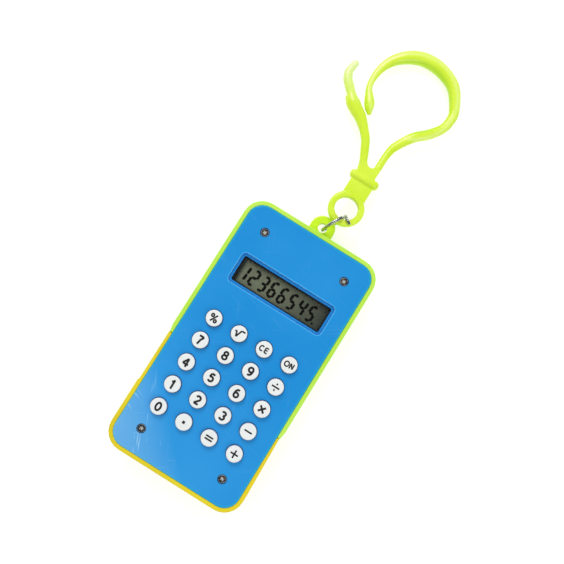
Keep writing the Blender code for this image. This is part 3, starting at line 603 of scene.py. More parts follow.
# %% Model the front plate
PLATE_CORNER = 5.4 * MM
PLATE_SPREAD = 0.08 * MM
PLATE_RIM = 0.25 * MM
KEY_HOLE = 2.95 * MM
WINDOW_SIZE = Vector((33.8, 9.15)) * MM
WINDOW_CORNER = 0.7 * MM
SEAT_WIDTH = 1.03 * MM
SEAT_CORNER = 1.6 * MM
SEAT_DEPTH = 0.85 * MM
SCREW_SEAT = 1.6 * MM
SCREW_SEAT_DEPTH = 1.25 * MM
SCREW_WAY = 0.9 * MM
HOLE_LIP = 0.1 * MM

KEYS = sorted(name for name in frame["nodes"] if name.startswith("key_") and name != "key_mat")
CASE_SCREWS = sorted(name for name in frame["nodes"] if name.startswith("case_screw_"))


def centre_of(node_name):
    """The middle of a frame node's box."""
    low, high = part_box(node_name)
    return (low + high) / 2


plate_low, plate_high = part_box("front_plate")
lens_low, lens_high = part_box("display_window")
window_centre = centre_of("display_window")
half_window = WINDOW_SIZE / 2
below = plate_low.z - MM
above = plate_high.z + MM

spread = Vector((PLATE_SPREAD, PLATE_SPREAD, 0.0))
plate = rounded_block("blue_plate", plate_low - spread, plate_high + spread, PLATE_CORNER, 18)
rim_edges = round_top(plate, plate_high.z, PLATE_RIM, 4)
print("plate:", rim_edges, "rim edges rounded")

# %% [markdown]
# Holes of the same depth are cut in one go: all their plugs are joined first. The lens's seat and
# the window have one outline, so one function makes both plugs. The sharp edges round the key holes
# are picked by their distance from a key's middle, and get a fine bevel.

# %% Cut the holes and seats


def window_block(name, margin, low, high, corner, segments):
    """A block with the window's outline, grown by a margin on every side."""
    reach_x, reach_y = half_window.x + margin, half_window.y + margin
    return rounded_block(name, (window_centre.x - reach_x, window_centre.y - reach_y, low),
                         (window_centre.x + reach_x, window_centre.y + reach_y, high),
                         corner, segments)


def at_key_hole(a, b):
    """Whether an edge runs round a key hole on the plate's upper face."""
    return min(a.z, b.z) > plate_high.z - NEAR and any(
        max(abs((end.xy - hole).length - KEY_HOLE) for end in (a, b)) < 2 * NEAR
        for hole in hole_places)


ways = [disc("way", centre_of(name), KEY_HOLE, below, above) for name in KEYS]
ways += [disc("way", centre_of(name), SCREW_WAY, below, above, 32) for name in CASE_SCREWS]
carve(plate, merge("ways", *ways))
seats = [disc("seat", centre_of(name), SCREW_SEAT, plate_high.z - SCREW_SEAT_DEPTH, above, 48)
         for name in CASE_SCREWS]
seats.append(window_block("seat", SEAT_WIDTH, plate_high.z - SEAT_DEPTH, above, SEAT_CORNER, 10))
carve(plate, merge("seats", *seats))
carve(plate, window_block("window", 0.0, below, above, WINDOW_CORNER, 8))

hole_places = [centre_of(name).xy for name in KEYS]
edit(plate, "EDGE")
lip_edges = pick_edges(plate, at_key_hole)
bpy.ops.mesh.bevel(offset=HOLE_LIP, segments=2, affect="EDGES")
leave(plate)
smooth(plate)
print("plate:", lip_edges, "edges round the key holes")

# %% [markdown]
# The plate's blue drifts a little at random, and a painted glare makes it paler towards its
# lower left corner. It turns cyan where light from the green case shines into its edge, and a
# painted highlight lies round the lens's seat. Scratches lie thickest at its lower left corner,
# where it has rubbed on other things, under a whitish haze that is partly scuffing and partly
# painted glare. Each tint is blended over the last one by a share that is worked out from the
# place on the plate, in millimetres.

# %% Blue plate material
BLUE = (0.006, 0.268, 0.680, 1.0)
BLUE_PALE_TONE_AND_GLARE = (0.028, 0.330, 0.765, 1.0)
EDGE_CYAN = (0.010, 0.430, 0.580, 1.0)
SEAT_BLUE = (0.010, 0.270, 0.760, 1.0)
SEAT_EDGE_HIGHLIGHT = (0.060, 0.480, 0.980, 1.0)
SCRATCH_AND_GLARE_WHITE = (0.38, 0.68, 0.92, 1.0)
# Stretches over which a tint comes in, in millimetres along the plate's diagonal or from an edge.
GLARE_DRIFT = (10.0, -60.0)
WEAR_AND_GLARE = (-40.0, -66.0)
RIM_TINT = (-0.75, -0.05)
WALL_HIGHLIGHT = (0.30, 0.15)
SEAT_TINT = (0.05, -0.10)
RIM_TINT_MOST = 0.7
SCRATCHES_LEAST = 0.05
SCRATCHES_MOST = 1.8


def blue_plate_material():
    """Glossy blue plastic with its tints, scratches, haze, painted glare and a painted highlight."""
    made = new_material("glossy_blue", IOR=1.46)
    tree = made.node_tree
    where = place_mm(tree)
    grain = use_group(tree, GRAIN, {"Place": where, "Grain Scale": 1.4, "Waves Scale": 0.035})
    parts = node(tree, "ShaderNodeSeparateXYZ", {0: where})
    sideways = maths(tree, "ADD", parts.outputs["X"], parts.outputs["Y"])
    # Painted glare: the blue turns paler towards the lower left corner, and the noise adds a random
    # drift.
    drift = maths(tree, "ADD", ramp(tree, sideways, *GLARE_DRIFT),
                  ramp(tree, grain.outputs["Waves"], 0.30, 0.70, -0.25, 0.25))
    color = blend_colors(tree, drift, BLUE, BLUE_PALE_TONE_AND_GLARE)
    edge = use_group(tree, RECTANGLE, {
        "Place": where, "Half Width": plate_high.x / MM, "Half Length": plate_high.y / MM,
        "Corner": PLATE_CORNER / MM})
    rim = ramp(tree, edge.outputs["Distance"], *RIM_TINT, 0.0, RIM_TINT_MOST)
    color = blend_colors(tree, rim, color, EDGE_CYAN)
    seat = use_group(tree, RECTANGLE, {
        "Place": place_mm(tree, window_centre), "Half Width": lens_high.x / MM,
        "Half Length": (lens_high.y - window_centre.y) / MM, "Corner": SEAT_CORNER / MM})
    # Painted highlight: a bright line round the rim of the lens's seat.
    wall_highlight = ramp(tree, seat.outputs["Distance"], *WALL_HIGHLIGHT)
    color = blend_colors(tree, wall_highlight, color, SEAT_EDGE_HIGHLIGHT)
    inside = ramp(tree, seat.outputs["Distance"], *SEAT_TINT)
    color = blend_colors(tree, inside, color, SEAT_BLUE)
    corner = ramp(tree, sideways, *WEAR_AND_GLARE)
    amount = ramp(tree, corner, 0.0, 1.0, SCRATCHES_LEAST, SCRATCHES_MOST)
    wear = use_group(tree, SCRATCHES, {"Place": where, "Scale": 1.1, "Amount": amount})
    # A whitish haze at the lower left corner: partly real scuffing, partly painted glare. worn mixes
    # it with the scratches.
    clouds = ramp(tree, grain.outputs["Waves"], 0.30, 0.70, 0.25, 0.50)
    haze = maths(tree, "MULTIPLY", corner, clouds)
    worn = maths(tree, "MAXIMUM", wear.outputs["Mask"], haze)
    color = blend_colors(tree, worn, color, SCRATCH_AND_GLARE_WHITE)
    rough = maths(tree, "ADD", ramp(tree, grain.outputs["Height"], 0.2, 0.8, 0.16, 0.24),
                  maths(tree, "MULTIPLY", worn, 0.25))
    height = maths(tree, "SUBTRACT", grain.outputs["Height"],
                   maths(tree, "MULTIPLY", wear.outputs["Mask"], 0.8))
    connect(made, Base_Color=color, Roughness=rough, Normal=bump(tree, height, 0.10, 0.02 * MM))
    return made


fit(plate, blue_plate_material(), "case", "blue_plastic", "front_plate")
print("plate faces:", len(plate.data.polygons))

# %% [markdown]
# ## Case halves
#
# The two shells have the right shape in the frame already: rounded back edges, the lip and groove
# at the slanted seam, the bosses and the lug. A copy of each is merged into one skin, its flat
# faces are cleaned, and a very small bevel rounds the edges that a mould never leaves sharp.

# %% Copy and refine the shells
SHELL_EDGE = 0.10 * MM
LUG_PAINTED_LIGHT = (0.66, 0.92, 0.010, 1.0)
YELLOW_WARM = (0.80, 0.64, 0.004, 1.0)
# Where the lug's painted light starts and ends past the case's edge, and the warm yellow along X, in
# mm.
LUG_LIGHT_SPAN = (1.5, 3.0)
WARM_TINT = (14.0, 24.0)


def refined(node_name, name):
    """A merged copy of a frame node whose sharp edges get a small bevel."""
    twin = copy_of(frame["nodes"][node_name], name)
    twin.parent = None
    for key in list(twin.keys()):
        del twin[key]
    edit(twin, "VERT")
    bpy.ops.mesh.select_all(action="SELECT")
    bpy.ops.mesh.remove_doubles(threshold=0.002 * MM)
    bpy.ops.mesh.dissolve_limited(angle_limit=math.radians(0.5))
    leave(twin)
    soften = twin.modifiers.new("soften", "BEVEL")
    soften.width = SHELL_EDGE
    soften.segments = 2
    soften.limit_method = "ANGLE"
    soften.angle_limit = math.radians(40)
    only(twin)
    bpy.ops.object.modifier_apply(modifier=soften.name)
    smooth(twin, 35)
    return twin


upper_shell = refined("upper_case", "green_shell")
lower_shell = refined("lower_case", "yellow_shell")
green = moulded_plastic("green_plastic", (0.47, 0.80, 0.055), (0.54, 0.86, 0.09), 0.34)
# Painted light: the lug turns a brighter, yellower lime, standing in for light shining through it.
tint_along(green, "Y", *(plate_high.y / MM + past for past in LUG_LIGHT_SPAN), LUG_PAINTED_LIGHT)
yellow = moulded_plastic("yellow_plastic", (0.72, 0.58, 0.004), (0.80, 0.66, 0.010), 0.36)
tint_along(yellow, "X", *WARM_TINT, YELLOW_WARM)
fit(upper_shell, green, "case", "green_plastic", "upper_case")
fit(lower_shell, yellow, "case", "yellow_plastic", "lower_case")
print("shell faces:", len(upper_shell.data.polygons), len(lower_shell.data.polygons))

# %% [markdown]
# ## Display
#
# Four things make the display: a clear lens let into the plate, a black border, an olive glass
# plate, and the dark digits in it. The lens is a thin rounded block. It is clear by its Alpha, so
# that light still reaches what lies under it.

# %% Model the lens
LENS_GAP = 0.15 * MM
LENS_ROUND = 0.15 * MM
LENS_CORNER = SEAT_CORNER - LENS_GAP
LENS_CLEAR = (0.01, 0.012, 0.012, 1.0)
LENS_EDGE_HIGHLIGHT = (0.30, 0.68, 1.00, 1.0)

lens = rounded_block("clear_lens", lens_low, lens_high, LENS_CORNER, 10)
round_top(lens, lens_high.z, LENS_ROUND, 3)
smooth(lens)


def lens_material():
    """Clear plastic: almost no colour of its own, with a painted highlight along its edge, broken up
    by a noise.
    """
    made = new_material("clear_lens", IOR=1.35, Roughness=0.06)
    tree = made.node_tree
    edge = use_group(tree, RECTANGLE, {
        "Place": place_mm(tree, window_centre), "Half Width": lens_high.x / MM,
        "Half Length": (lens_high.y - window_centre.y) / MM, "Corner": LENS_CORNER / MM})
    # Painted highlight: a bright line along the lens's edge, broken up by a noise.
    line = ramp(tree, edge.outputs["Distance"], -0.20, -0.06)
    beads = node(tree, "ShaderNodeTexNoise", {"Vector": place_mm(tree), "Scale": 2.2,
                                              "Detail": 1.0})
    broken = maths(tree, "MULTIPLY", line, ramp(tree, beads.outputs["Fac"], 0.40, 0.60, 0.25, 1.0))
    connect(made, Base_Color=blend_colors(tree, broken, LENS_CLEAR, LENS_EDGE_HIGHLIGHT),
            Alpha=ramp(tree, broken, 0.0, 1.0, 0.03, 0.70))
    return made


fit(lens, lens_material(), "case", "clear_plastic", "display_window")
print("lens thickness:", round((lens_high.z - lens_low.z) / MM, 2), "mm")

# %% [markdown]
# The border and the glass plate keep their frame shapes, with a new finish. The glass is an olive
# grey that darkens at both ends and along its upper side, where the border shades it. The shade is
# worked out from the place in the window, so it stays put whatever the light does.

# %% Border and glass materials
OLIVE = (0.138, 0.160, 0.100, 1.0)
OLIVE_LIGHT = (0.180, 0.205, 0.128, 1.0)
OLIVE_DARK = (0.030, 0.040, 0.030, 1.0)
# Distances from the window's sides, in mm, between which each shade fades out or comes in.
LEFT_SHADE = (2.1, 1.1)
RIGHT_SHADE = (19.0, 0.6)
UPPER_SHADE = (1.6, 0.4)


def glass_plate_material():
    """The display's glass: fine mottled olive with a soft shade at its sides."""
    made = new_material("display_glass", IOR=1.5)
    tree = made.node_tree
    where = place_mm(tree, window_centre)
    parts = node(tree, "ShaderNodeSeparateXYZ", {0: where})
    fibres = node(tree, "ShaderNodeTexNoise", {"Vector": where, "Scale": 2.6, "Detail": 4.0})
    color = blend_colors(tree, ramp(tree, fibres.outputs["Fac"], 0.3, 0.7), OLIVE, OLIVE_LIGHT)
    side, top = half_window / MM
    left = ramp(tree, parts.outputs["X"], *(reach - side for reach in LEFT_SHADE))
    right = ramp(tree, parts.outputs["X"], *(side - reach for reach in RIGHT_SHADE), 0.0, 0.85)
    upper = ramp(tree, parts.outputs["Y"], *(top - reach for reach in UPPER_SHADE), 0.0, 0.55)
    shade = maths(tree, "MAXIMUM", maths(tree, "MAXIMUM", left, right), upper)
    connect(made, Base_Color=blend_colors(tree, shade, color, OLIVE_DARK),
            Roughness=ramp(tree, fibres.outputs["Fac"], 0.2, 0.8, 0.28, 0.4))
    return made


black = moulded_plastic("black_plastic", (0.008, 0.008, 0.009), (0.014, 0.014, 0.015), 0.42)
glass_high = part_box("lcd_glass")[1]
paint(frame["nodes"]["lcd_frame"], black)
paint(frame["nodes"]["lcd_glass"], glass_plate_material())
print("glass top at", round(glass_high.z / MM, 2), "mm")

# %% [markdown]
# Each digit is built from seven bars. A bar is a thin block whose two end faces are made narrower,
# so that neighbours meet at a slant. Flat and upright bars differ in length, so one of each is made.

# %% Model a flat and an upright bar
DIGIT_HEIGHT = 6.0 * MM
DIGIT_WIDTH = 2.85 * MM
BAR_WIDTH = 0.92 * MM
BAR_THICK = 0.05 * MM
BAR_GAP = 0.42 * MM
BAR_END_GAP = 0.1 * MM
BAR_TIP_LENGTH = 0.36 * BAR_WIDTH
BAR_TIP_SHARE = 0.28


def bar(length, upright):
    """One bar at the origin, flat on the glass, with narrower ends."""
    bpy.ops.mesh.primitive_cube_add(size=1.0, scale=(length, BAR_WIDTH, BAR_THICK))
    made = settle("bar")
    edit(made, "FACE")
    for sign in (-1, 1):
        pick_faces(made, lambda middle, normal: normal.x * sign > 0.9)
        bpy.ops.mesh.extrude_region_move(
            TRANSFORM_OT_translate={"value": (sign * BAR_TIP_LENGTH, 0.0, 0.0)})
        bpy.ops.transform.resize(value=(1.0, BAR_TIP_SHARE, 1.0))
    leave(made)
    if upright:
        made.data.transform(Matrix.Rotation(math.pi / 2, 4, "Z"))
    return made


half_height = DIGIT_HEIGHT / 2
flat_bar = bar(DIGIT_WIDTH - 2 * BAR_WIDTH - BAR_END_GAP, False)
tall_bar = bar(half_height - BAR_WIDTH - BAR_GAP, True)
print("bars:", len(flat_bar.data.polygons), "faces each")

# %% [markdown]
# The letters a to g name a digit's bars, clockwise from the top and with g in the middle. For each
# digit shown, the lit bars are copied to their places. The whole row then leans to the right, as
# the digits on such displays do, and a small point closes it.

# %% Set the digits
SHOWN = "12366545"
DIGIT_PITCH = 3.73 * MM
DIGIT_SLANT = math.radians(5.0)
FIRST_DIGIT_X = -14.2 * MM
DIGIT_ROW_Y = -0.2 * MM
DIGIT_LIFT = 0.01 * MM
POINT_SIZE = 0.68 * MM
POINT_GAP = 0.6 * MM
LIT_BARS = {"1": "bc", "2": "abged", "3": "abgcd", "4": "fgbc", "5": "afgcd", "6": "afgedc"}

inner_half = (DIGIT_WIDTH - BAR_WIDTH) / 2
rung = half_height - BAR_WIDTH / 2
BAR_PLACES = {
    "a": (0.0, rung, False), "g": (0.0, 0.0, False), "d": (0.0, -rung, False),
    "f": (-inner_half, rung / 2, True), "b": (inner_half, rung / 2, True),
    "e": (-inner_half, -rung / 2, True), "c": (inner_half, -rung / 2, True),
}
bars = []
for position, digit in enumerate(SHOWN):
    for letter in LIT_BARS[digit]:
        x, y, upright = BAR_PLACES[letter]
        model = tall_bar if upright else flat_bar
        shift = (FIRST_DIGIT_X + position * DIGIT_PITCH + x, y, 0.0)
        bars.append(copy_of(model, "bar", shift))
point_x = FIRST_DIGIT_X + (len(SHOWN) - 1) * DIGIT_PITCH + DIGIT_WIDTH / 2 + POINT_GAP
bars.append(rounded_block(
    "point", (point_x - POINT_SIZE / 2, -half_height, -BAR_THICK / 2),
    (point_x + POINT_SIZE / 2, -half_height + POINT_SIZE, BAR_THICK / 2), 0.1 * MM, 2))
digits = merge("display_digits", *bars)
for unused in (flat_bar, tall_bar):
    bpy.data.objects.remove(unused, do_unlink=True)
lean = Matrix.Identity(4)
lean[0][1] = math.tan(DIGIT_SLANT)
digits.data.transform(lean)
digits.data.transform(Matrix.Translation(
    (window_centre.x, window_centre.y + DIGIT_ROW_Y, glass_high.z + DIGIT_LIFT + BAR_THICK / 2)))
ink = moulded_plastic("display_ink", (0.002, 0.003, 0.002), (0.005, 0.006, 0.004), 0.5,
                      Specular_IOR_Level=0.1)
fit(digits, ink, "case", "black_plastic")
print("digits:", SHOWN, "from", len(bars), "bars")

# %% [markdown]
# ## Keys
#
# A key cap is a turned shape: a flat top with a rounded shoulder, a straight side that slides in
# the plate, a flange that stops it from falling out, and a stem that presses the mat. It starts as
# a cylinder. Its lower face is then extruded and resized in steps, which is how a turned shape
# grows by hand. One cap is modelled and copied to the twenty places.

# %% Model one key cap
CAP_RADIUS = 2.75 * MM
SHOULDER = 0.42 * MM
FLANGE_THICK = 0.6 * MM
FLANGE_GAP = 0.3 * MM
STEM_RADIUS = 1.5 * MM

key_low, key_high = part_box(KEYS[0])
first_key = centre_of(KEYS[0])
flange_radius = (key_high.x - key_low.x) / 2
flange_top = plate_low.z - FLANGE_GAP


def lower_face(middle, normal):
    """Whether a face looks straight down."""
    return normal.z < -0.9


cap = disc("cap", first_key, CAP_RADIUS, flange_top, key_high.z)
round_top(cap, key_high.z, SHOULDER, 6)
edit(cap, "FACE")
pick_faces(cap, lower_face)
for wider, drop in ((flange_radius / CAP_RADIUS, FLANGE_THICK),
                    (STEM_RADIUS / flange_radius, flange_top - FLANGE_THICK - key_low.z)):
    bpy.ops.mesh.extrude_region_move(TRANSFORM_OT_translate={"value": (0.0, 0.0, 0.0)})
    bpy.ops.transform.resize(value=(wider, wider, 1.0), center_override=first_key)
    bpy.ops.mesh.extrude_region_move(TRANSFORM_OT_translate={"value": (0.0, 0.0, -drop)})
leave(cap)
edit(cap, "FACE")
bpy.ops.mesh.select_all(action="SELECT")
bpy.ops.mesh.normals_make_consistent(inside=False)
leave(cap)
smooth(cap)
print("one cap:", len(cap.data.polygons), "faces")

# %% [markdown]
# The caps are white satin plastic. Their sides get a darker bluish tint: painted shade, and a
# painted reflection of the blue plate. The tint starts just below the top, so the printed face
# stays white.

# %% Key material and copies
KEY_WARM = (0.79, 0.825, 0.82, 1.0)
KEY_WHITE = (0.83, 0.86, 0.855, 1.0)
KEY_SIDE_SHADE_AND_REFLECTION = (0.52, 0.55, 0.70, 1.0)
# How far below the top the side's painted shade starts and is full, in millimetres.
SIDE_SHADE_SPAN = (0.07, 0.36)


def key_material():
    """White satin plastic whose sides get a painted shade and a painted reflection of the plate."""
    made = new_material("key_white")
    tree = made.node_tree
    where = place_mm(tree)
    grain = use_group(tree, GRAIN, {"Place": where, "Grain Scale": 2.2, "Waves Scale": 0.3})
    tint = ramp(tree, grain.outputs["Waves"], 0.35, 0.65)
    color = blend_colors(tree, tint, KEY_WARM, KEY_WHITE)
    parts = node(tree, "ShaderNodeSeparateXYZ", {0: where})
    # Painted shade and a painted reflection of the blue plate on the cap's sides, below its top.
    side = ramp(tree, parts.outputs["Z"], *(key_high.z / MM - drop for drop in SIDE_SHADE_SPAN))
    color = blend_colors(tree, side, color, KEY_SIDE_SHADE_AND_REFLECTION)
    connect(made, Base_Color=color,
            Roughness=ramp(tree, grain.outputs["Height"], 0.2, 0.8, 0.34, 0.46),
            Normal=bump(tree, grain.outputs["Height"], 0.2, 0.02 * MM))
    return made


key_white = key_material()
for name in KEYS:
    twin = copy_of(cap, name.replace("key_", "cap_"), centre_of(name) - first_key)
    fit(twin, key_white, name, "key_plastic", name)
bpy.data.objects.remove(cap, do_unlink=True)
print("keys:", len(KEYS))

# %% [markdown]
# ## Key legends
#
# The signs are printed in thick, even strokes. A stroke is a path of straight runs and arcs with a
# round bevel, turned into a mesh and pressed almost flat, so each sign is a thin raised layer of
# ink. The arcs keep the round figures truly round, which a few hand-placed points would not.
# Every sign is drawn in a box that is about one unit high, with its middle at the origin.

# %% Draw the strokes
ARC_STEP = 15


def arc(cx, cy, rx, ry, start, end):
    """Points of an arc in a box one unit high, from one angle to another in degrees."""
    count = max(2, round(abs(end - start) / ARC_STEP))
    turns = [math.radians(start + (end - start) * step / count) for step in range(count + 1)]
    return [(cx + rx * math.cos(turn), cy + ry * math.sin(turn)) for turn in turns]


LEGENDS = {
    "0": [arc(0.0, 0.0, 0.245, 0.40, 90, 450)],
    "1": [[(-0.17, 0.22), (-0.02, 0.30), (0.06, 0.44)], [(0.06, 0.50), (0.06, -0.50)]],
    "2": [arc(0.0, 0.17, 0.235, 0.23, 165, -30) + [(-0.22, -0.40), (0.27, -0.40)]],
    "3": [arc(-0.01, 0.205, 0.215, 0.195, 155, -90),
          arc(-0.01, -0.195, 0.245, 0.205, 90, -160)],
    "4": [[(0.12, -0.50), (0.12, 0.42), (-0.29, -0.20), (0.33, -0.20)]],
    "5": [[(0.23, 0.40), (-0.15, 0.40), (-0.20, 0.02)]
          + arc(-0.01, -0.14, 0.235, 0.25, 125, -150)],
    "6": [arc(0.0, -0.16, 0.235, 0.24, 90, 450),
          arc(0.02, -0.06, 0.255, 0.46, 180, 62)],
    "7": [[(-0.27, 0.40), (0.24, 0.40), (0.02, 0.02), (-0.09, -0.50)]],
    "8": [arc(0.0, 0.215, 0.20, 0.19, 90, 450), arc(0.0, -0.185, 0.24, 0.215, 90, 450)],
    "9": [arc(0.0, 0.16, 0.235, 0.24, 90, 450),
          arc(-0.02, 0.06, 0.255, 0.46, 0, -118)],
    "plus": [[(-0.43, 0.0), (0.43, 0.0)], [(0.0, -0.43), (0.0, 0.43)]],
    "minus": [[(-0.43, 0.0), (0.43, 0.0)]],
    "times": [[(-0.31, -0.31), (0.31, 0.31)], [(-0.31, 0.31), (0.31, -0.31)]],
    "equals": [[(-0.42, 0.15), (0.42, 0.15)], [(-0.42, -0.15), (0.42, -0.15)]],
    "divide": [[(-0.44, 0.0), (0.44, 0.0)], [(0.0, 0.24), (0.0, 0.42)],
               [(0.0, -0.24), (0.0, -0.42)]],
    "point": [[(0.0, -0.15), (0.0, 0.15)]],
    "percent": [arc(-0.24, 0.23, 0.13, 0.15, 90, 450), arc(0.24, -0.23, 0.13, 0.15, 90, 450),
                [(-0.24, -0.42), (0.24, 0.42)]],
    "square_root": [[(-0.50, 0.08), (-0.34, 0.18), (-0.16, -0.40), (0.12, 0.38), (0.54, 0.38)]],
    "clear_entry": [arc(-0.42, 0.0, 0.34, 0.42, 45, 315),
                    [(0.72, 0.42), (0.20, 0.42), (0.20, -0.42), (0.72, -0.42)],
                    [(0.20, 0.02), (0.66, 0.02)]],
    "on": [arc(-0.44, 0.0, 0.38, 0.42, 90, 450),
           [(0.20, -0.50), (0.20, 0.42), (0.72, -0.42), (0.72, 0.50)]],
}
print("signs:", len(LEGENDS))

# %% [markdown]
# A bevelled curve is thinner at a sharp turn, so a stroke is split there into straight runs that
# overlap. The figures are bold, the signs a little lighter and the two words lighter again.

# %% Make the legends
LEGEND_HEIGHT = 3.2 * MM
LETTER_HEIGHT = 2.0 * MM
BOLD = 0.70 * MM
MEDIUM = 0.56 * MM
LIGHT = 0.47 * MM
DOT = 0.95 * MM
INK_THICK = 0.03 * MM
STROKE_WIDTHS = {"percent": MEDIUM, "clear_entry": LIGHT, "on": LIGHT, "square_root": MEDIUM,
                 "minus": MEDIUM, "plus": MEDIUM, "equals": MEDIUM, "divide": MEDIUM, "point": DOT}
SHARP_TURN = math.radians(50)


def straight_runs(stroke):
    """Split a stroke where it turns sharply, so that every run keeps its full width."""
    runs = [[stroke[0]]]
    for last, here, following in zip(stroke, stroke[1:], stroke[2:]):
        runs[-1].append(here)
        before = Vector(here) - Vector(last)
        if before.angle(Vector(following) - Vector(here)) > SHARP_TURN:
            runs.append([here])
    runs[-1].append(stroke[-1])
    return runs


def ink_sign(name, strokes, height, width):
    """A sign of bevelled strokes, made a mesh and pressed flat at the origin."""
    curve = bpy.data.curves.new(name, "CURVE")
    curve.dimensions = "3D"
    curve.bevel_depth = width / 2
    curve.bevel_resolution = 3
    curve.use_fill_caps = True
    for stroke in (run for whole in strokes for run in straight_runs(whole)):
        closed = (Vector(stroke[0]) - Vector(stroke[-1])).length < 0.001
        points = stroke[:-1] if closed else stroke
        line = curve.splines.new("POLY")
        line.points.add(len(points) - 1)
        for point, (x, y) in zip(line.points, points):
            point.co = (x * height, y * height, 0.0, 1.0)
        line.use_cyclic_u = closed
    sign = bpy.data.objects.new(name, curve)
    bpy.context.collection.objects.link(sign)
    only(sign)
    bpy.ops.object.convert(target="MESH")
    sign = bpy.context.object
    sign.data.transform(Matrix.Scale(INK_THICK / width, 4, (0.0, 0.0, 1.0)))
    return sign


legend_ink = moulded_plastic("legend_ink", (0.010, 0.010, 0.012), (0.016, 0.016, 0.018), 0.5)
for name in KEYS:
    meaning = name.removeprefix("key_")
    tall = LETTER_HEIGHT if meaning in ("clear_entry", "on") else LEGEND_HEIGHT
    sign = ink_sign("legend_" + meaning, LEGENDS[meaning], tall, STROKE_WIDTHS.get(meaning, BOLD))
    middle = centre_of(name)
    sign.data.transform(Matrix.Translation((middle.x, middle.y, key_high.z + INK_THICK / 4)))
    smooth(sign, 60)
    fit(sign, legend_ink, name, "black_plastic")
print("legends:", len(KEYS))

# %% [markdown]
# ## Case screws
#
# Four small pan-head screws sit in seats in the plate. Each head is a short cylinder with a
# rounded shoulder, and two crossed blocks cut the cross. The shank goes down into the boss and
# isn't seen, but a screw without one would look wrong when it is taken out.

# %% Model one case screw
HEAD_RADIUS = 1.45 * MM
HEAD_THICK = 0.8 * MM
SHANK_RADIUS = 0.75 * MM
CROSS_LENGTH = 1.9 * MM
CROSS_WIDTH = 0.42 * MM
CROSS_DEPTH = 0.5 * MM
HEAD_ROUND = 0.32 * MM
SHANK_TIP_SHARE = 0.4

screw_low, screw_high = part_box(CASE_SCREWS[0])
first_screw = centre_of(CASE_SCREWS[0])
screw = disc("screw", first_screw, HEAD_RADIUS, screw_high.z - HEAD_THICK, screw_high.z, 48)
round_top(screw, screw_high.z, HEAD_ROUND, 4)
edit(screw, "FACE")
pick_faces(screw, lower_face)
bpy.ops.mesh.inset(thickness=HEAD_RADIUS - SHANK_RADIUS)
bpy.ops.mesh.extrude_region_move(TRANSFORM_OT_translate={
    "value": (0.0, 0.0, screw_low.z + SHANK_RADIUS - (screw_high.z - HEAD_THICK))})
bpy.ops.mesh.extrude_region_move(TRANSFORM_OT_translate={
    "value": (0.0, 0.0, -SHANK_RADIUS)})
bpy.ops.transform.resize(value=(SHANK_TIP_SHARE, SHANK_TIP_SHARE, 1.0),
                         center_override=first_screw)
leave(screw)
cross_low = screw_high.z - CROSS_DEPTH
for length, width in ((CROSS_LENGTH, CROSS_WIDTH), (CROSS_WIDTH, CROSS_LENGTH)):
    carve(screw, rounded_block(
        "cross", (first_screw.x - length / 2, first_screw.y - width / 2, cross_low),
        (first_screw.x + length / 2, first_screw.y + width / 2, screw_high.z + MM), 0.0, 1))
smooth(screw)
print("one screw:", len(screw.data.polygons), "faces")

# %% [markdown]
# The screws are dark steel that is worn bright in the middle and near the rim of each head. One
# material serves all of them: it takes the distance to the nearest head's middle, and a fine noise
# breaks up the worn zones.

# %% Worn steel and copies
STEEL_DARK = (0.030, 0.030, 0.034, 1.0)
STEEL_BRIGHT = (0.92, 0.90, 0.86, 1.0)
WORN_REACH = 0.9


def worn_steel(name, centres):
    """Dark steel with bright worn zones round each centre."""
    made = new_material(name)
    tree = made.node_tree
    nearest = distance_from(tree, centres[0])
    for centre in centres[1:]:
        nearest = maths(tree, "MINIMUM", nearest, distance_from(tree, centre))
    fine = node(tree, "ShaderNodeTexNoise", {"Vector": place_mm(tree), "Scale": 4.5,
                                             "Detail": 4.0})
    wobble = maths(tree, "MULTIPLY", maths(tree, "SUBTRACT", fine.outputs["Fac"], 0.5), 1.1)
    away = maths(tree, "ADD", nearest, wobble)
    middle = ramp(tree, away, WORN_REACH, WORN_REACH * 0.25)
    edge = ramp(tree, away, WORN_REACH * 1.25, WORN_REACH * 1.45, 0.0, 0.6)
    bare = maths(tree, "MAXIMUM", middle, edge)
    connect(made, Base_Color=blend_colors(tree, bare, STEEL_DARK, STEEL_BRIGHT),
            Metallic=ramp(tree, bare, 0.0, 1.0, 1.0, 0.25),
            Roughness=ramp(tree, fine.outputs["Fac"], 0.2, 0.8, 0.22, 0.5),
            Normal=bump(tree, fine.outputs["Fac"], 0.5, 0.05 * MM))
    return made


screw_steel = worn_steel("screw_steel", [centre_of(name) for name in CASE_SCREWS])
for name in CASE_SCREWS:
    twin = copy_of(screw, name.replace("case_screw", "pan_screw"), centre_of(name) - first_screw)
    fit(twin, screw_steel, "case", "screw_steel", name)
bpy.data.objects.remove(screw, do_unlink=True)
print("case screws:", len(CASE_SCREWS))

# %% [markdown]
# ## Jump ring
#
# The ring is one open turn of plated wire, seen edge on from above. Its far end is bent aside over
# the hook's eye. The wire is a curve with a round bevel: the turn comes from a formula, and the bent
# end is a few points that a smooth curve passes through. Both joints of the frame lie on the wire,
# so they give the ring's place, size and direction.

# %% Find the ring's place
joints = {joint["name"]: joint for joint in frame["joints"]}
lug_wire = Vector(joints["ring_swing"]["pos_m"])
eye_wire = Vector(joints["hook_swing"]["pos_m"])
ring_radius = (eye_wire - lug_wire).length / 2
ring_centre = (eye_wire + lug_wire) / 2
ring_out = (eye_wire - lug_wire).normalized()
ring_side = Vector((ring_out.y, -ring_out.x, 0.0))
UP = Vector((0.0, 0.0, 1.0))
print("ring:", round(2 * ring_radius / MM, 1), "mm across the wire's middle")

# %% [markdown]
# Wire and plastic arms are both made as bars along a path. A Catmull-Rom curve runs smoothly
# through a few stations, and a curve object with a round bevel gives it thickness.

# %% Helpers for bars along a path


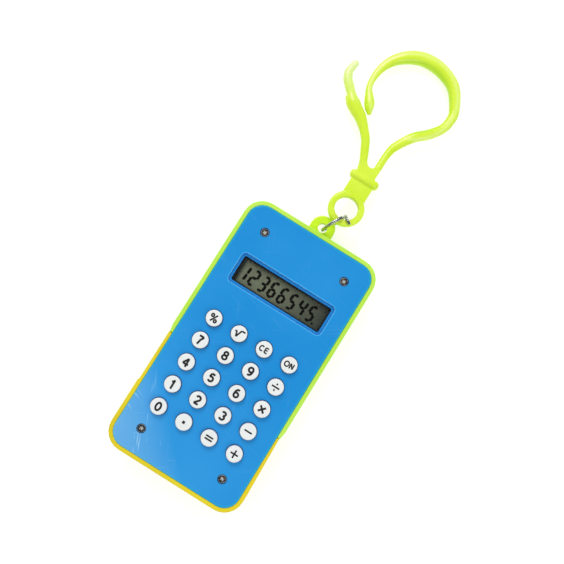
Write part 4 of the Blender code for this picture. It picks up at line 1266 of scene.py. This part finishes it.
def smooth_path(stations, parts):
    """Points of a Catmull-Rom curve through the stations."""
    ends = [2 * stations[0] - stations[1], *stations, 2 * stations[-1] - stations[-2]]
    points = []
    for a, b, c, d in zip(ends, ends[1:], ends[2:], ends[3:]):
        for step in range(parts):
            t = step / parts
            points.append(0.5 * (2 * b + (c - a) * t + (2 * a - 5 * b + 4 * c - d) * t ** 2
                                 + (3 * b - a - 3 * c + d) * t ** 3))
    points.append(stations[-1].copy())
    return points


def round_bar(name, path, radii, sides=20):
    """A round bar along a path, as a closed mesh."""
    curve = bpy.data.curves.new(name, "CURVE")
    curve.dimensions = "3D"
    curve.bevel_depth = 1.0
    curve.bevel_resolution = (sides - 4) // 2
    curve.use_fill_caps = True
    line = curve.splines.new("POLY")
    line.points.add(len(path) - 1)
    for point, place, radius in zip(line.points, path, radii):
        point.co = (*place, 1.0)
        point.radius = radius
    rod = bpy.data.objects.new(name, curve)
    bpy.context.collection.objects.link(rod)
    only(rod)
    bpy.ops.object.convert(target="MESH")
    rod = bpy.context.object
    rod.name = name
    return face_outwards(rod, 0.001 * MM)


print("bars can have any radius along their path")

# %% [markdown]
# The turn runs upright from just past the hook's eye, down through the lug and up again. Its free
# end then leaves the turn and crosses the eye to one side. The gap between both ends is where the
# real ring is pulled open, and it clears the eye when the hook swings.

# %% Model the jump ring
WIRE_RADIUS = 0.55 * MM
TURN_START = 54
TURN_END = 378
TURN_STEP = 4
# Places on the bent end: along the ring's direction, up, and aside, in millimetres.
BENT_END = ((4.28, 2.2, 0.1), (4.1, 2.9, 0.45), (3.95, 3.5, 1.1), (3.85, 3.85, 1.9),
            (3.75, 3.95, 2.7), (3.65, 3.95, 3.4))
WIRE_BRIGHT = (0.78, 0.78, 0.76, 1.0)
WIRE_DARK = (0.02, 0.02, 0.02, 1.0)

turn_points = []
for degrees in range(TURN_START, TURN_END + 1, TURN_STEP):
    turn = math.radians(degrees)
    turn_points.append(ring_centre + ring_radius * (ring_out * math.cos(turn)
                                                    + UP * math.sin(turn)))
end_points = turn_points[-2:]
end_points += [ring_centre + (ring_out * along + UP * lift + ring_side * aside) * MM
               for along, lift, aside in BENT_END]
wire_path = turn_points[:-2] + smooth_path(end_points, 4)
ring = round_bar("wire_ring", wire_path, [WIRE_RADIUS] * len(wire_path), 24)
smooth(ring, 40)


def plated_wire_material():
    """Bright plating over drawn wire, with slanting marks left by the winding tool."""
    made = new_material("plated_wire", Metallic=1.0)
    tree = made.node_tree
    where = place_mm(tree)
    bands = node(tree, "ShaderNodeTexWave", {
        "Vector": node(tree, "ShaderNodeMapping", {
            "Vector": where, "Rotation": (0.6, 0.3, 0.9)}).outputs[0],
        "Scale": 1.25, "Distortion": 1.2, "Detail": 2.0}, bands_direction="DIAGONAL")
    spots = node(tree, "ShaderNodeTexNoise", {"Vector": where, "Scale": 2.0, "Detail": 3.0})
    mark = maths(tree, "MULTIPLY", bands.outputs["Fac"],
                 ramp(tree, spots.outputs["Fac"], 0.30, 0.5))
    connect(made,
            Base_Color=blend_colors(tree, mark, WIRE_BRIGHT, WIRE_DARK),
            Roughness=ramp(tree, mark, 0.0, 1.0, 0.12, 0.36),
            Normal=bump(tree, bands.outputs["Fac"], 0.35, 0.05 * MM))
    return made


fit(ring, plated_wire_material(), "ring", "ring_steel", "jump_ring")
print("ring:", len(ring.data.polygons), "faces")

# %% [markdown]
# ## Snap hook
#
# The hook is one moulding, so its parts flow into each other with soft fillets. A quick way to get
# these is to build simple shapes that overlap (an eye, a neck, a collar, a web, and an arm of
# changing width), fuse them with a voxel remesh, and smooth the result a little. The arm follows
# stations that give a place and a width, and is flatter than it is wide. Everything is modelled
# lying flat with the eye's middle at the origin, and is moved to the frame's place at the end.

# %% Helpers for the hook
ARM_FLATNESS = 0.84
# How far out along an arm's round end its cross sections stand, as shares of the end's radius.
END_SHARES = (0.3, 0.55, 0.75, 0.9, 0.98)
VOXEL = 0.17 * MM
GATE_ROOT = Vector((-3.45, 17.1, 0.0)) * MM

gate_pivot = Vector(joints["gate_flex"]["pos_m"])
hook_turn = UP.rotation_difference(Vector(joints["gate_flex"]["axis"])).to_matrix().to_4x4()
hook_place = Matrix.Translation(gate_pivot - hook_turn @ GATE_ROOT) @ hook_turn


def swept_arm(name, stations, parts=6):
    """A flattened bar through (x, y, width) stations in millimetres, with round ends."""
    points = smooth_path([Vector(station) * MM for station in stations], parts)
    path = [Vector((point.x, point.y, 0.0)) for point in points]
    radii = [point.z / 2 for point in points]
    first_way = (path[0] - path[1]).normalized()
    last_way = (path[-1] - path[-2]).normalized()
    sizes = [math.sqrt(1 - share * share) for share in END_SHARES]
    heads = [path[0] + first_way * radii[0] * share for share in END_SHARES]
    tails = [path[-1] + last_way * radii[-1] * share for share in END_SHARES]
    path = heads[::-1] + path + tails
    radii = ([radii[0] * size for size in reversed(sizes)] + radii
             + [radii[-1] * size for size in sizes])
    made = round_bar(name, path, radii, 24)
    made.data.transform(Matrix.Scale(ARM_FLATNESS, 4, (0.0, 0.0, 1.0)))
    return made


def fuse(piece, rounds):
    """Fuse overlapping shapes into one skin and soften where they meet."""
    only(piece)
    piece.data.remesh_voxel_size = VOXEL
    piece.data.remesh_voxel_adaptivity = 0.0
    bpy.ops.object.voxel_remesh()
    soften = piece.modifiers.new("soften", "SMOOTH")
    soften.factor = 0.5
    soften.iterations = rounds
    bpy.ops.object.modifier_apply(modifier=soften.name)
    bpy.ops.object.shade_smooth()


print("hook leans", round(math.degrees(hook_turn.to_euler().x), 2), "degrees")

# %% [markdown]
# The body has five shapes. The eye is a flat ring, the neck a thin tongue from the eye's rim, and
# the collar a thick bar with all edges rounded. The web behind it forks into the loop and the gate,
# round a small notch. The loop is one swept arm that grows thicker towards its far end.

# %% Model the hook's body
EYE_RADIUS = 6.3 * MM
EYE_HOLE = 4.0 * MM
EYE_THICK = 2.6 * MM
NECK_HALF = 4.2 * MM
NECK_THICK = 1.5 * MM
COLLAR_Y = 12.1 * MM
COLLAR_SIZE = Vector((11.0, 3.1, 3.9)) * MM
EYE_ROUND = 0.85 * MM
COLLAR_ROUND = 1.45 * MM
NECK_START_SHARE = 0.80
WEB_THICK = 2.7 * MM
WEB_LEFT = -3.9 * MM
WEB_RIGHT = 3.1 * MM
WEB_TOP = 17.9 * MM
NOTCH_CENTRE = (-0.55 * MM, 18.3 * MM)
NOTCH_RADIUS = 1.75 * MM
LOOP_STATIONS = (
    (1.6, 14.6, 2.9), (2.0, 18.4, 2.6), (2.1, 23.4, 2.65), (3.0, 27.9, 3.15),
    (6.6, 34.2, 3.6), (10.5, 38.1, 3.7), (13.6, 42.4, 3.4), (14.6, 46.2, 3.4),
    (14.2, 50.4, 3.7), (10.3, 57.2, 4.5), (5.8, 60.2, 5.0), (0.4, 61.6, 5.3),
    (-4.8, 61.2, 5.2), (-9.3, 59.0, 4.8), (-13.1, 55.3, 4.0), (-15.2, 51.1, 3.2),
    (-16.0, 46.9, 2.6), (-15.9, 43.4, 2.2), (-15.2, 41.0, 2.4), (-13.9, 38.9, 3.1),
    (-12.6, 36.9, 3.7), (-11.6, 35.0, 3.1), (-10.9, 33.8, 1.9),
)

eye = disc("eye", (0.0, 0.0), EYE_RADIUS, -EYE_THICK / 2, EYE_THICK / 2, 96)
carve(eye, disc("eye_hole", (0.0, 0.0), EYE_HOLE, -EYE_THICK, EYE_THICK, 96))
edit(eye, "EDGE")
pick_edges(eye, lambda a, b: abs(a.z - b.z) < NEAR)
bpy.ops.mesh.bevel(offset=EYE_ROUND, segments=5, affect="EDGES")
leave(eye)

eye_middle = (EYE_RADIUS + EYE_HOLE) / 2
neck = rounded_block("neck", (-NECK_HALF, eye_middle * NECK_START_SHARE, -NECK_THICK / 2),
                     (NECK_HALF, COLLAR_Y, NECK_THICK / 2), 0.0, 1)
carve(neck, disc("neck_cut", (0.0, 0.0), eye_middle, -EYE_THICK, EYE_THICK, 96))

collar_middle = Vector((0.0, COLLAR_Y, 0.0))
collar = rounded_block("collar", collar_middle - COLLAR_SIZE / 2, collar_middle + COLLAR_SIZE / 2,
                       0.0, 1)
edit(collar, "EDGE")
bpy.ops.mesh.select_all(action="SELECT")
bpy.ops.mesh.bevel(offset=COLLAR_ROUND, segments=6, affect="EDGES")
leave(collar)

web = rounded_block("web", (WEB_LEFT, COLLAR_Y, -WEB_THICK / 2),
                    (WEB_RIGHT, WEB_TOP, WEB_THICK / 2), 0.0, 1)
carve(web, disc("notch", NOTCH_CENTRE, NOTCH_RADIUS, -WEB_THICK, WEB_THICK, 48))
loop = swept_arm("loop", LOOP_STATIONS)
hook = merge("snap_hook", eye, neck, collar, web, loop)
fuse(hook, 5)
hook.data.transform(hook_place)
print("hook:", len(hook.data.polygons), "faces")

# %% [markdown]
# The hook's plastic lets a little light through. The loop is nearly a circle: its inner side gets
# a painted green shade and a band near its outer side a pale painted highlight, both placed by the
# distance from the loop's middle.

# %% Lime plastic
LOOP_MIDDLE = Vector((-0.7, 47.0, 0.0)) * MM
LOOP_PAINTED_SHADE = (0.43, 0.75, 0.025, 1.0)
LOOP_PAINTED_HIGHLIGHT = (0.78, 0.95, 0.220, 1.0)
# Distances from the loop's middle, in mm, over which painted shade and highlight come in and then
# fade out.
SHADE_IN, SHADE_OUT = (10.5, 12.0), (12.9, 14.0)
HIGHLIGHT_IN, HIGHLIGHT_OUT = (14.4, 15.4), (15.7, 16.6)
SHADE_MOST = 0.6
HIGHLIGHT_MOST = 0.8


def lime_material(name):
    """Lime plastic, with more gloss and less grain than the case."""
    return moulded_plastic(name, (0.62, 0.84, 0.030), (0.70, 0.89, 0.060), 0.20, waves=0.09,
                           depth=0.006, Subsurface_Weight=0.12, Subsurface_Scale=0.0012,
                           Subsurface_Radius=(0.7, 1.0, 0.15))


def paint_loop_shade_and_highlight(made, centre):
    """Paint a green shade on the loop's inner side and a pale highlight in a band near its outer
    side.
    """
    tree = made.node_tree
    socket = tree.nodes["Principled BSDF"].inputs["Base Color"]
    away = distance_from(tree, centre)
    # Painted shade: green on the loop's inner side.
    inner = maths(tree, "MULTIPLY", ramp(tree, away, *SHADE_IN, 0.0, SHADE_MOST),
                  ramp(tree, away, *reversed(SHADE_OUT)))
    color = blend_colors(tree, inner, socket.links[0].from_socket, LOOP_PAINTED_SHADE)
    # Painted highlight: a pale band near the loop's outer side.
    band = maths(tree, "MULTIPLY", ramp(tree, away, *HIGHLIGHT_IN, 0.0, HIGHLIGHT_MOST),
                 ramp(tree, away, *reversed(HIGHLIGHT_OUT)))
    connect(made, Base_Color=blend_colors(tree, band, color, LOOP_PAINTED_HIGHLIGHT))


lime = lime_material("lime_plastic")
paint_loop_shade_and_highlight(lime, hook_place @ LOOP_MIDDLE)
fit(hook, lime, "hook", "lime_plastic", "hook_body")
print("lime plastic on", hook.name)

# %% [markdown]
# The gate is the thin arm on the hook's left. Its root is a web of the same plastic that bends when
# the thumb pulls the lever, so its mesh starts inside the hook's web. A second short arm makes the
# knee where the lever starts, and a painted highlight turns the lever a paler lime.

# %% Model the gate
GATE_STATIONS = (
    (-2.6, 13.4, 2.2), (-3.05, 15.2, 2.6), (-3.45, 17.1, 2.7), (-5.1, 21.0, 3.0),
    (-7.0, 24.8, 3.15), (-9.4, 27.7, 3.4), (-12.5, 30.6, 4.2), (-15.2, 32.3, 4.7),
    (-17.6, 34.0, 5.0), (-19.6, 36.3, 3.3), (-21.8, 38.5, 3.4), (-23.6, 40.6, 3.3),
    (-24.5, 43.2, 3.1), (-24.0, 46.6, 2.6),
)
KNEE_STATIONS = ((-16.8, 32.8, 3.6), (-18.1, 33.8, 4.0), (-19.2, 34.6, 3.2))
LEVER_START = Vector((-18.0, 33.0, 0.0)) * MM
LEVER_END = Vector((-23.0, 46.0, 0.0)) * MM
LEVER_PAINTED_HIGHLIGHT = (0.78, 0.93, 0.42, 1.0)

gate_lime = lime_material("gate_lime_plastic")
lever = (hook_place @ LEVER_START, hook_place @ LEVER_END)
# Painted highlight: the lever turns a paler lime towards its tip.
tint_along(gate_lime, "Y", lever[0].y / MM, lever[1].y / MM, LEVER_PAINTED_HIGHLIGHT)
gate = merge("snap_gate", swept_arm("arm", GATE_STATIONS), swept_arm("knee", KNEE_STATIONS))
fuse(gate, 3)
gate.data.transform(hook_place)
paint(gate, gate_lime)
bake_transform(gate)
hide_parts("hook_gate")
print("gate:", len(gate.data.polygons), "faces")

# %% [markdown]
# ## Inside the case
#
# The pieces inside keep their frame shapes: they are seen only when the case is opened. Each still
# gets a real finish, such as the board's green mask with its tracks showing through, the dull
# rubber of the key mat and the turned face of the cell.

# %% Materials for the pieces inside


def board_material():
    """Green solder mask, with tracks that show through as a lighter green."""
    made = new_material("green_laminate")
    tree = made.node_tree
    where = place_mm(tree)
    cells = node(tree, "ShaderNodeTexBrick", {
        "Vector": where, "Scale": 0.32, "Mortar Size": 0.028, "Mortar Smooth": 0.2,
        "Color1": (0.0, 0.0, 0.0, 1.0), "Color2": (0.0, 0.0, 0.0, 1.0),
        "Mortar": (1.0, 1.0, 1.0, 1.0)})
    weave = node(tree, "ShaderNodeTexNoise", {"Vector": where, "Scale": 1.8, "Detail": 3.0})
    color = blend_colors(tree, weave.outputs["Fac"], (0.010, 0.090, 0.030, 1.0),
                         (0.020, 0.140, 0.050, 1.0))
    color = blend_colors(tree, cells.outputs["Fac"], color, (0.050, 0.260, 0.090, 1.0))
    connect(made, Base_Color=color,
            Roughness=ramp(tree, weave.outputs["Fac"], 0.2, 0.8, 0.3, 0.5),
            Normal=bump(tree, cells.outputs["Fac"], 0.3, 0.03 * MM))
    return made


def turned_metal(name, light, dark, centre):
    """Bright metal with the fine rings that a lathe or a press leaves round its centre."""
    made = new_material(name, Metallic=1.0)
    tree = made.node_tree
    rings = node(tree, "ShaderNodeTexWave", {"Vector": place_mm(tree, centre), "Scale": 1.6,
                                             "Distortion": 0.6, "Detail": 1.0},
                 wave_type="RINGS", rings_direction="Z")
    connect(made,
            Base_Color=blend_colors(tree, rings.outputs["Fac"], (*light, 1.0), (*dark, 1.0)),
            Roughness=ramp(tree, rings.outputs["Fac"], 0.0, 1.0, 0.22, 0.34),
            Normal=bump(tree, rings.outputs["Fac"], 0.2, 0.01 * MM))
    return made


rubber = moulded_plastic("grey_rubber", (0.085, 0.088, 0.092), (0.11, 0.113, 0.118), 0.72)
resin = moulded_plastic("black_resin", (0.004, 0.004, 0.004), (0.010, 0.010, 0.010), 0.35)
cell_steel = turned_metal("cell_steel", (0.62, 0.62, 0.60), (0.50, 0.50, 0.49),
                          centre_of("button_cell"))
brass = turned_metal("contact_brass", (0.72, 0.55, 0.26), (0.60, 0.45, 0.20),
                     centre_of("button_cell"))
board_screws = sorted(name for name in frame["nodes"] if name.startswith("board_screw_"))
board_steel = worn_steel("board_screw_steel", [centre_of(name) for name in board_screws])
INSIDE = {
    "circuit_board": board_material(), "chip_cover": resin, "key_mat": rubber,
    "zebra_strip": rubber, "button_cell": cell_steel, "positive_contact": brass,
    "negative_contact": brass,
}
INSIDE.update((name, board_steel) for name in board_screws)
for name, finish in INSIDE.items():
    paint(frame["nodes"][name], finish)
print("inside pieces:", len(INSIDE))
